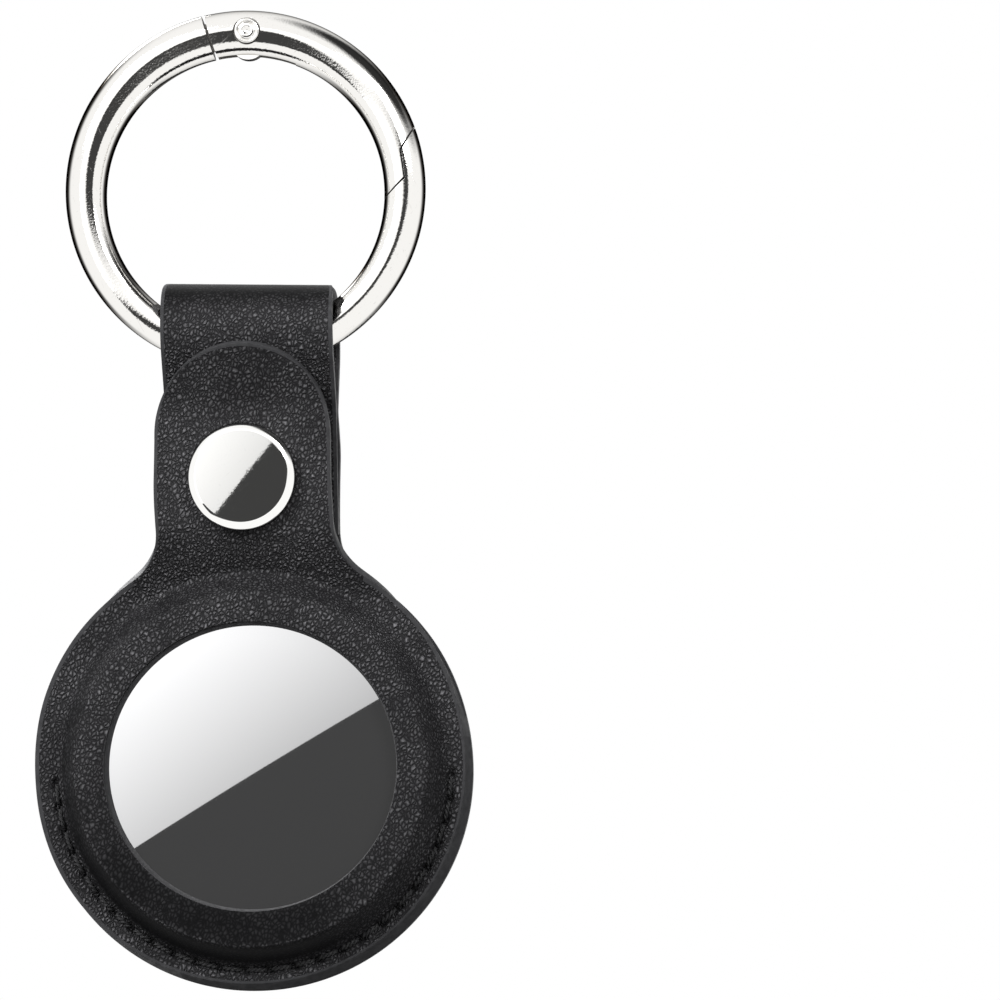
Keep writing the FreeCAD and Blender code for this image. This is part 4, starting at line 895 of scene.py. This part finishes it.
def front_bulge(reach):
    """How far the moulded ring round the window stands forward of the flange."""
    wall = 1 - soft_step(WALL_TOP, BULGE_END, reach)
    crown = CROWN_DROP * ((reach - CROWN_START) / CROWN_RUN) ** 2 if reach < CROWN_START else 0.0
    return (PLATEAU - FLANGE_FRONT) * wall - crown


def tab_lean(s):
    """How far the end of the tab leans out: it eases into a straight slope."""
    run = max(s - LEAN_START, 0.0)
    return LEAN_SLOPE * (run * run / (2 * LEAN_EASE) if run < LEAN_EASE else run - LEAN_EASE / 2)


def front_mould(x, s):
    """Where a place of the flat front blank ends up, and how far its grain is ironed flat."""
    reach = math.hypot(x, s)
    sink = stitch_sink(x, s)
    cut = 1 - slanted_cut(x, s) * (reach - CUT_START) / CUT_RUN / reach
    share = soft_step(*CLIMB, s)
    climb = (TAB_FRONT - FLANGE_FRONT) * share
    bulge = front_bulge(reach) * (1 - share) if reach < BULGE_END else 0.0
    uneven = wander(x, s, (3.1, 0.16, 0.04), (9.4, 0.45, 0.02))
    forward = FLANGE_FRONT + climb + tab_lean(s) + bulge - sink
    forward += uneven * soft_step(WINDOW_RADIUS, WINDOW_RADIUS + 2, reach)
    on_wall = soft_step(*WALL_IRONED, reach)
    wall = on_wall * (1 - soft_step(*WALL_GRAINED, reach))
    low_side = soft_step(*LOWER_SIDE, s)
    right_side = soft_step(*RIGHT_SIDE, x / reach)
    plateau = PLATEAU_IRONED * low_side * (1 - on_wall)
    smooth = max(wall * (0.6 + 0.4 * low_side) * (1 - 0.7 * right_side), plateau * (1 - 0.6 * right_side),
                 pulled_flat(sink), TIP_IRONED * soft_step(*TAB_TIP, s))
    window = (WINDOW_RISE - WINDOW_STRETCH * s / WINDOW_RADIUS) * soft_step(*WINDOW_EDGE, reach)
    aside, rise = settled(x, s)
    aside -= TAB_ASIDE * soft_step(*TAB_ROOT, s)
    return Vector((x * cut + aside, -forward, disc_up + s * cut + rise + window)), smooth


def tab_end(u):
    """The top of the tab's round end, from 45 degrees on the right to 45 degrees on the left."""
    return flat_spot(TAB_HALF, math.pi / 4 + math.pi / 2 * u, TAB_TOP - TAB_HALF)


front_rings = [WINDOW_RADIUS + 0.4 + 0.155 * k for k in range(41)] + [DISC_RADIUS]
front_blank = leather_blank(WINDOW_RADIUS, False, front_rings, TAB_HALF, TAB_TOP - TAB_HALF, math.pi / 4, 64,
                            tab_end)
front_leather = pressed("front_leather", front_blank, front_mould, -1)
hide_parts("front_panel", "front_flap")
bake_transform(front_leather)

# %% [markdown]
# ## The back leather
# The back leather is the back of the pocket, the neck, the strap, the loop round the ring and the folded
# leg, all in one. The strap is followed like a road: straight up, a gentle bend, a straight, the loop, and
# the same again down the front. A walker on that road always knows where the flat blank's next row belongs.
# Bending draws the strap in at the loop's top. At the shoulders the back
# creeps less than the front.

# %% The road of the strap
STRAP_HALF = 8.625
EYE_UP = -14.3326
EYE_RADIUS = 3.7174
MEET_UP = -21.7276
BEND = 4.0
LEG_FORWARD = 0.05
STRAP_END = -34.0026
lean_angle = math.asin(EYE_RADIUS / (EYE_UP - MEET_UP))
lean_run = math.sqrt((EYE_UP - MEET_UP) ** 2 - EYE_RADIUS ** 2)
bend_reach = BEND * math.tan(lean_angle / 2)
ROAD = [
    (MEET_UP - bend_reach - disc_up, 0.0),
    (BEND * lean_angle, -1 / BEND),
    (lean_run - bend_reach, 0.0),
    (EYE_RADIUS * (math.pi + 2 * lean_angle), 1 / EYE_RADIUS),
    (lean_run - bend_reach, 0.0),
    (BEND * lean_angle, -1 / BEND),
    (MEET_UP - bend_reach - STRAP_END, 0.0),
]
road_length = sum(length for length, curve in ROAD)
loop_start = sum(length for length, curve in ROAD[:3])
loop_end = loop_start + ROAD[3][0]
loop_top = (loop_start + loop_end) / 2


def walk(s):
    """Where the strap's inner face is after a walk of s from the disc's centre, and its heading."""
    back, up, heading = 0.0, disc_up, 0.0
    for length, curve in ROAD:
        step = min(s, length)
        if curve:
            ahead = heading + curve * step
            back += (math.cos(ahead) - math.cos(heading)) / curve
            up += (math.sin(ahead) - math.sin(heading)) / curve
            heading = ahead
        else:
            back -= math.sin(heading) * step
            up += math.cos(heading) * step
        s -= step
        if s <= 0:
            break
    return back, up, heading


print("road of the strap in mm", round(road_length, 2), "ends at", [round(v, 3) for v in walk(road_length)])

# %% Back leather
BACK_PLATEAU = 5.5
BACK_WALL = (15.2, 18.75)
BACK_WALL_TOP, BACK_WALL_FOOT, BACK_IRONED = (15.6, 16.8), (18.2, BULGE_END), 0.7
PILLOW_DROP, PILLOW_REACH = 0.12, 16.0
BACK_CREEP = 0.2
UNEVEN_FADE = (36.0, 20.0)
STRAP_TAPER, STRAP_NARROWS = 0.035, (30.0, 36.0)
STRAP_ASIDE, STRAP_SHIFTS = 0.3, (23.0, 36.0)
LOOP_TILT = 0.03
LOOP_DRAW_IN = 0.045
LOOP_DRAW_RUN = 1.2


def back_bulge(reach):
    """How far the back of the pocket stands behind the flange: a soft pillow with a rounded wall."""
    wall = 1 - soft_step(*BACK_WALL, reach)
    pillow = PILLOW_DROP * min(reach / PILLOW_REACH, 1.0) ** 2
    return (BACK_PLATEAU - THICKNESS - pillow) * wall


def back_mould(x, s):
    """Where a place of the flat back blank ends up, and how far its grain is ironed flat."""
    reach = math.hypot(x, s)
    sink = stitch_sink(x, s)
    back, up, heading = walk(s) if s > 0 else (0.0, disc_up + s, 0.0)
    back -= LEG_FORWARD * soft_step(loop_start, loop_end, s)
    shift = THICKNESS + (back_bulge(reach) if reach < BULGE_END else 0.0) - sink
    shift += wander(x, s, (5.7, 0.13, 0.06), (1.2, 0.4, 0.02)) * soft_step(*UNEVEN_FADE, s)
    across = x * (1 - STRAP_TAPER * soft_step(*STRAP_NARROWS, s)) + STRAP_ASIDE * soft_step(*STRAP_SHIFTS, s)
    across *= 1 - LOOP_DRAW_IN * math.exp(-((s - loop_top) / LOOP_DRAW_RUN) ** 2)
    in_loop = soft_step(loop_start - 6.0, loop_start + 2.0, s) * soft_step(loop_end + 6.0, loop_end - 2.0, s)
    up -= LOOP_TILT * x * in_loop
    aside, rise = settled(x, s)
    spot = Vector((across + BACK_CREEP * aside, back + math.cos(heading) * shift,
                   up + rise + math.sin(heading) * shift))
    wall = BACK_IRONED * soft_step(*BACK_WALL_TOP, reach) * (1 - soft_step(*BACK_WALL_FOOT, reach))
    loop = soft_step(loop_start + 1.5, loop_start + 5.0, s) * soft_step(loop_end - 2.6, loop_end - 5.4, s)
    return spot, max(wall, loop, pulled_flat(sink))


def strap_end(u):
    """The straight cut at the end of the folded leg."""
    return Vector((STRAP_HALF * (1 - 2 * u), 0, road_length))


back_rings = [1.0 * k for k in range(2, 15)] + [14 + 0.18 * k for k in range(1, 38)] + [DISC_RADIUS]
back_blank = leather_blank(1.0, True, back_rings, STRAP_HALF, road_length, 0.0, 150, strap_end)
back_leather = pressed("back_leather", back_blank, back_mould, 1)
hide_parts("back_panel")
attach(back_leather, "holder")

# %% [markdown]
# ## The stitches
# A lockstitch shows one thread on each side. Each stitch comes up out of a needle hole, lies on the leather
# and dives into the next hole. The thread is two plies twisted together, so each stitch is two tubes that
# wind round one another: a small circle is extruded along the way and turned a little at every step.

# %% Stitches on both sides
THREAD_PLY = 0.13
PLY_SIDES = 8
PLY_STEPS = 16
PLY_TURNS = 2.0
PLY_OFF = 0.85 * THREAD_PLY
STITCH_DIVE = 0.62
STITCH_RISE = 0.66
STITCH_FULLNESS = 0.45
HOLE_GAP = 0.06
ply_angles = [math.tau * k / PLY_SIDES for k in range(PLY_SIDES)]
THREAD = fibre_finish("black_thread", (0.012, 0.012, 0.013), 0.42, 0.15, 9000.0, 2.0,
                      (0.02, 0.02, 0.021, 1), (0.06, 0.06, 0.062, 1), 0.4, 0.00002)


def around(across, radius, angle):
    """A step away from a stitch's middle line, at an angle round it."""
    return radius * (across * math.cos(angle) + Vector((0, math.sin(angle), 0)))


def stitch_row(side, flange):
    """All stitches of one side. The side is -1 for the front and 1 for the back."""
    bm = bmesh.new()
    for first, second in zip(stitch_angles, stitch_angles[1:]):
        start = flat_spot(STITCH_RADIUS, first)
        end = flat_spot(STITCH_RADIUS, second)
        across = (end - start).normalized().cross(Vector((0, 1, 0)))
        for ply in range(2):
            row = []
            for step in range(PLY_STEPS + 1):
                t = step / PLY_STEPS
                rise = flange - STITCH_DIVE + STITCH_RISE * math.sin(math.pi * t) ** STITCH_FULLNESS
                middle = start.lerp(end, HOLE_GAP + (1 - 2 * HOLE_GAP) * t) + Vector((0, side * rise, 0))
                middle += around(across, PLY_OFF, math.tau * PLY_TURNS * t + math.pi * ply)
                spots = [middle + around(across, THREAD_PLY, angle) for angle in ply_angles]
                if row:
                    row = next_row(bm, row, spots, True)
                else:
                    row = bmesh.ops.create_circle(bm, cap_ends=True, segments=PLY_SIDES, radius=1)["verts"]
                    for vert, spot in zip(row, spots):
                        vert.co = spot
    bmesh.ops.translate(bm, vec=(0, 0, disc_up), verts=bm.verts)
    bmesh.ops.holes_fill(bm, edges=[edge for edge in bm.edges if edge.is_boundary], sides=PLY_SIDES)
    return bm


for name, node, side, flange in (("needle_stitches", "needle_thread", -1, FLANGE_FRONT),
                                 ("bobbin_stitches", "bobbin_thread", 1, THICKNESS)):
    stitches = finished(name, stitch_row(side, flange), THREAD)
    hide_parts(node)
    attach(stitches, "holder")

# %% [markdown]
# ## The snap's caps
# A snap cap is drawn from thin sheet: a face that is almost flat, a rolled edge and a short wall whose lip
# is pressed into the leather. It is spun as a shell with an inside, because the rivet's plate sits in it.
# The face is a shallow dome, and no press is perfect, so it slopes by a degree or two.

# %% Snap caps
CAP_RADIUS = 5.225
CAP_FACE = 4.41
CAP_HEIGHT = 1.6
CAP_WALL = 0.3
CAP_DOME = 0.045
CAP_CROSS = 0.06
CAP_SLOPE = 0.034
FRONT_CAP_CREEP = (-0.3, -0.3)
snap_up = (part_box("front_snap_cap")[0].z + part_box("front_snap_cap")[1].z) / 2 / MM


def snap_cap(base, turned):
    """A cap that stands on a level; turned is 1 for the front and -1 for the back."""
    face = []
    for radius in [CAP_FACE * k / 8 for k in range(9)] + [CAP_FACE + 0.04]:
        face.append((radius, CAP_HEIGHT - CAP_DOME * (radius / CAP_FACE) ** 2))
    shell = face + [(CAP_FACE + 0.45, CAP_HEIGHT - 0.2, 0.2), (CAP_RADIUS, CAP_HEIGHT - 0.55, 0.3),
                    (CAP_RADIUS, 0.12, 0.1), (CAP_RADIUS - 0.12, 0.0),
                    (CAP_RADIUS - CAP_WALL, 0.05), (CAP_RADIUS - CAP_WALL, CAP_HEIGHT - 0.5, 0.2),
                    (0, CAP_HEIGHT - CAP_WALL)]
    bm = lathe(shell, steps=160)
    for vert in bm.verts:
        on_face = soft_step(CAP_HEIGHT - 0.7, CAP_HEIGHT - 0.1, -vert.co.y)
        vert.co.y += on_face * (CAP_CROSS * (vert.co.x / CAP_FACE) ** 2 - CAP_SLOPE * vert.co.z)
    if turned < 0:
        bmesh.ops.rotate(bm, cent=(0, 0, 0), matrix=Matrix.Rotation(math.pi, 3, "Z"), verts=bm.verts)
    aside, drop = FRONT_CAP_CREEP if turned > 0 else (0.0, 0.0)
    bmesh.ops.translate(bm, vec=(aside, -turned * base, snap_up + drop), verts=bm.verts)
    return bm


for name, node, body, base, turned in (("front_cap", "front_snap_cap", "flap", TAB_FRONT, 1),
                                       ("back_cap", "back_snap_cap", "holder", THICKNESS, -1)):
    cap = finished(name, snap_cap(base, turned), CAP_NICKEL)
    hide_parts(node)
    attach(cap, body)

# %% [markdown]
# ## The tag's steel lid
# The lid is the bright disc in the window. It is stamped from thin stainless steel, polished to a mirror
# and domed by less than a millimetre. A mirror shows every facet, so its arc has many rings and steps.

# %% Steel lid
LID_RISE = 0.75
LID_WALL = 0.4
lid_low, lid_high = (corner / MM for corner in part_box("tag_cover"))
lid_radius = (lid_high.x - lid_low.x) / 2


def lid_arc(radius, drop):
    """A corner of the lid's dome at a radius."""
    return radius, -lid_low.y - drop - LID_RISE * (radius / lid_radius) ** 2


lid_outside = [lid_arc(lid_radius * k / 40, 0) for k in range(40)]
lid_inside = [lid_arc(lid_radius * k / 12, LID_WALL) for k in range(11, -1, -1)]
lid_corner = [(*lid_arc(lid_radius, 0), 0.25), (lid_radius, -lid_high.y),
              (lid_radius - LID_WALL, -lid_high.y), (lid_radius - LID_WALL, lid_arc(lid_radius, LID_WALL)[1])]
steel_lid = finished("steel_lid", lathe(lid_outside + lid_corner + lid_inside, steps=256, up=disc_up), MIRROR)
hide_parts("tag_cover")
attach(steel_lid, "cover")

# %% [markdown]
# ## What is inside
# The socket, the stud and the tag's inner parts are right as they come from the solids, so they only get
# their finishes. The voice coil is the exception: it is wound, so its section is drawn as a stack of wire
# turns.

# %% Finishes of the inner parts
SLOT_FINISH = {
    "nickel": NICKEL, "snap_steel": SNAP_STEEL, "spring_steel": SPRING, "mirror_steel": MIRROR,
    "white_plastic": WHITE, "dark_plastic": DARK, "seal_rubber": RUBBER, "cell_steel": CELL,
    "contact_brass": CONTACT, "board_green": BOARD, "magnet_steel": MAGNET, "leather_black": LEATHER,
    "thread_black": THREAD,
}
for subpart in frame["record"]["subparts"]:
    solid = nodes[subpart["node"]]
    solid.data.materials.clear()
    solid.data.materials.append(SLOT_FINISH[subpart["material_slot"]])
print("slots", len(SLOT_FINISH))

# %% Voice coil
VOICE_TURNS = 9
WINDING_WALL = 0.7
SCALLOP = 0.08
voice_low, voice_high = (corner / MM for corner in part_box("voice_coil"))


def winding_corners():
    """A ring section whose outside and inside are scalloped by the turns of the wire."""
    outer = (voice_high.x - voice_low.x) / 2
    inner = outer - WINDING_WALL
    base, top = -voice_high.y, -voice_low.y
    pitch = (top - base) / VOICE_TURNS
    outside = []
    inside = []
    for k in range(VOICE_TURNS):
        outside += [(outer - SCALLOP, base + pitch * k), (outer, base + pitch * (k + 0.5))]
        inside += [(inner + SCALLOP, base + pitch * k), (inner, base + pitch * (k + 0.5))]
    ends = [(outer - SCALLOP, top), (inner + SCALLOP, top)]
    return outside + ends + inside[::-1] + [(outer - SCALLOP, base)]


winding = finished("voice_winding", lathe(winding_corners(), steps=96, up=disc_up), CONTACT)
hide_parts("voice_coil")
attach(winding, "tag")

# %% [markdown]
# ## The studio
# The picture is a plain product shot. It has a white surround, a large soft lamp at the upper left, a
# weaker one at the right, one behind for the back, and a pale floor that fades into the white. Polished
# metal shows its surroundings, so two boards stand where the metal looks, one on each side, so that the
# back looks like the front. Each is white at the upper left and dark at the lower right, with a straight
# edge between. A black card at the upper right darkens what looks up. Only reflections see the boards and
# the card.

# %% Surround and lamps
scene.view_settings.view_transform = "Standard"
AMBIENT = 0.17
LAMP_SIZE = 0.5
LAMPS = (("key_lamp", (-0.5, -0.72, 0.55), 10.5), ("fill_lamp", (0.6, -0.72, 0.45), 4.5),
         ("back_lamp", (-0.5, 0.72, 0.55), 12.0))


def surround():
    """White for the camera, for reflections and through glass, and softer as a light."""
    world = bpy.data.worlds.new("white_surround")
    scene.world = world
    world.use_nodes = True
    tree = world.node_tree
    paths = tree.nodes.new("ShaderNodeLightPath").outputs
    seen = reckon(tree, "MAXIMUM", paths["Is Camera Ray"], paths["Is Glossy Ray"])
    seen = reckon(tree, "MAXIMUM", seen, paths["Is Transmission Ray"])
    level = ramp(tree, seen, 0.0, 1.0, AMBIENT, 1.0)
    fill(tree, tree.nodes["Background"], {"Color": (1, 1, 1, 1), "Strength": level})


def lamp(name, spot, power):
    """A square soft lamp that faces the holder."""
    data = bpy.data.lights.new(name, "AREA")
    data.size = LAMP_SIZE
    data.energy = power
    light = bpy.data.objects.new(name, data)
    scene.collection.objects.link(light)
    light.location = spot
    light.rotation_euler = (HOLDER_MIDDLE - Vector(spot)).to_track_quat("-Z", "Y").to_euler()


surround()
for name, spot, power in LAMPS:
    lamp(name, spot, power)
print("lamps", len(LAMPS))

# %% Floor and boards
FLOOR_UP = -0.11
FLOOR_HALF = 4.0
FRONT_BOARD = (-0.145, -1.5, -0.0033)
BACK_BOARD = (0.0, 1.5, -0.285)
BOARD_HALF = 1.0
SPLIT_ANGLE = math.radians(30)
SPLIT_DROP = 0.010
CARD_SPOT = (0.6, 0.0, 0.75)
CARD_HALF = 0.75


def show(tree, output):
    """Make an output the surface of its material."""
    fill(tree, tree.nodes["Material Output"], {"Surface": output})


def glow(name):
    """A material without a Principled shader, for a stage piece that only glows, and its node tree."""
    material = bpy.data.materials.new(name)
    material.use_nodes = True
    tree = material.node_tree
    tree.nodes.remove(tree.nodes["Principled BSDF"])
    return material, tree


def floor_finish():
    """A pale matt floor that fades into the white surround away from the holder."""
    material = moulded_finish("pale_floor", (0.86, 0.86, 0.855), 0.75, 0.9, 12.0)
    tree = material.node_tree
    away = steer(tree, "LENGTH", own_place(tree), out="Value")
    seen = wire(tree, "LightPath", {}, "Is Camera Ray")
    share = reckon(tree, "MULTIPLY", ease(tree, away, 0.1, 0.6), seen)
    white = wire(tree, "Emission", {"Strength": 1.0})
    show(tree, wire(tree, "MixShader", {0: share, 1: tree.nodes["Principled BSDF"].outputs[0], 2: white}))
    return material


def board_finish():
    """White to grey above a slanting line, dark below it."""
    material, tree = glow("reflector")
    spot = own_place(tree)
    split_way = (-math.sin(SPLIT_ANGLE), 0, math.cos(SPLIT_ANGLE))
    above = steer(tree, "DOT_PRODUCT", spot, split_way, out="Value")
    toward = steer(tree, "DOT_PRODUCT", spot, (-0.6, 0, 0.8), out="Value")
    lit = reckon(tree, "GREATER_THAN", above, -SPLIT_DROP)
    light = ramp(tree, toward, -0.10, 0.33, 0.66, 1.5)
    dark = ramp(tree, above, -0.35, -0.45, 0.05, 1.0)
    show(tree, wire(tree, "Emission", {"Strength": between(tree, lit, dark, light)}))
    return material


def card_finish():
    """A black card, fading to white at its border, that gives bright metal its dark edges."""
    material, tree = glow("black_card")
    away = steer(tree, "LENGTH", own_place(tree), out="Value")
    tone = ease(tree, away, 0.4 * CARD_HALF, CARD_HALF, 0.03, 1.0)
    show(tree, wire(tree, "Emission", {"Strength": tone}))
    return material


def stage_plane(name, half, material, spot, turned):
    """A flat stage piece, drawn in the plane of X and Z about its own origin, then placed and turned."""
    bm = bmesh.new()
    bmesh.ops.create_grid(bm, x_segments=2, y_segments=2, size=half,
                          matrix=Matrix.Rotation(math.pi / 2, 4, "X"))
    plane = object_of(name, bm, material)
    plane.location = spot
    plane.rotation_euler = turned
    print("stage", name)
    return plane


floor = stage_plane("floor", FLOOR_HALF, floor_finish(), (0, 0, FLOOR_UP), (-math.pi / 2, 0, 0))
floor.visible_glossy = False
floor.visible_diffuse = False
reflector = board_finish()
card_turn = (-Vector(CARD_SPOT)).to_track_quat("Y", "Z").to_euler()
for plane in (stage_plane("front_board", BOARD_HALF, reflector, FRONT_BOARD, (0, 0, 0)),
              stage_plane("back_board", BOARD_HALF, reflector, BACK_BOARD, (0, 0, math.pi)),
              stage_plane("upper_card", CARD_HALF, card_finish(), CARD_SPOT, card_turn)):
    plane.visible_camera = False
    plane.visible_diffuse = False
    plane.visible_shadow = False
    plane.visible_transmission = False
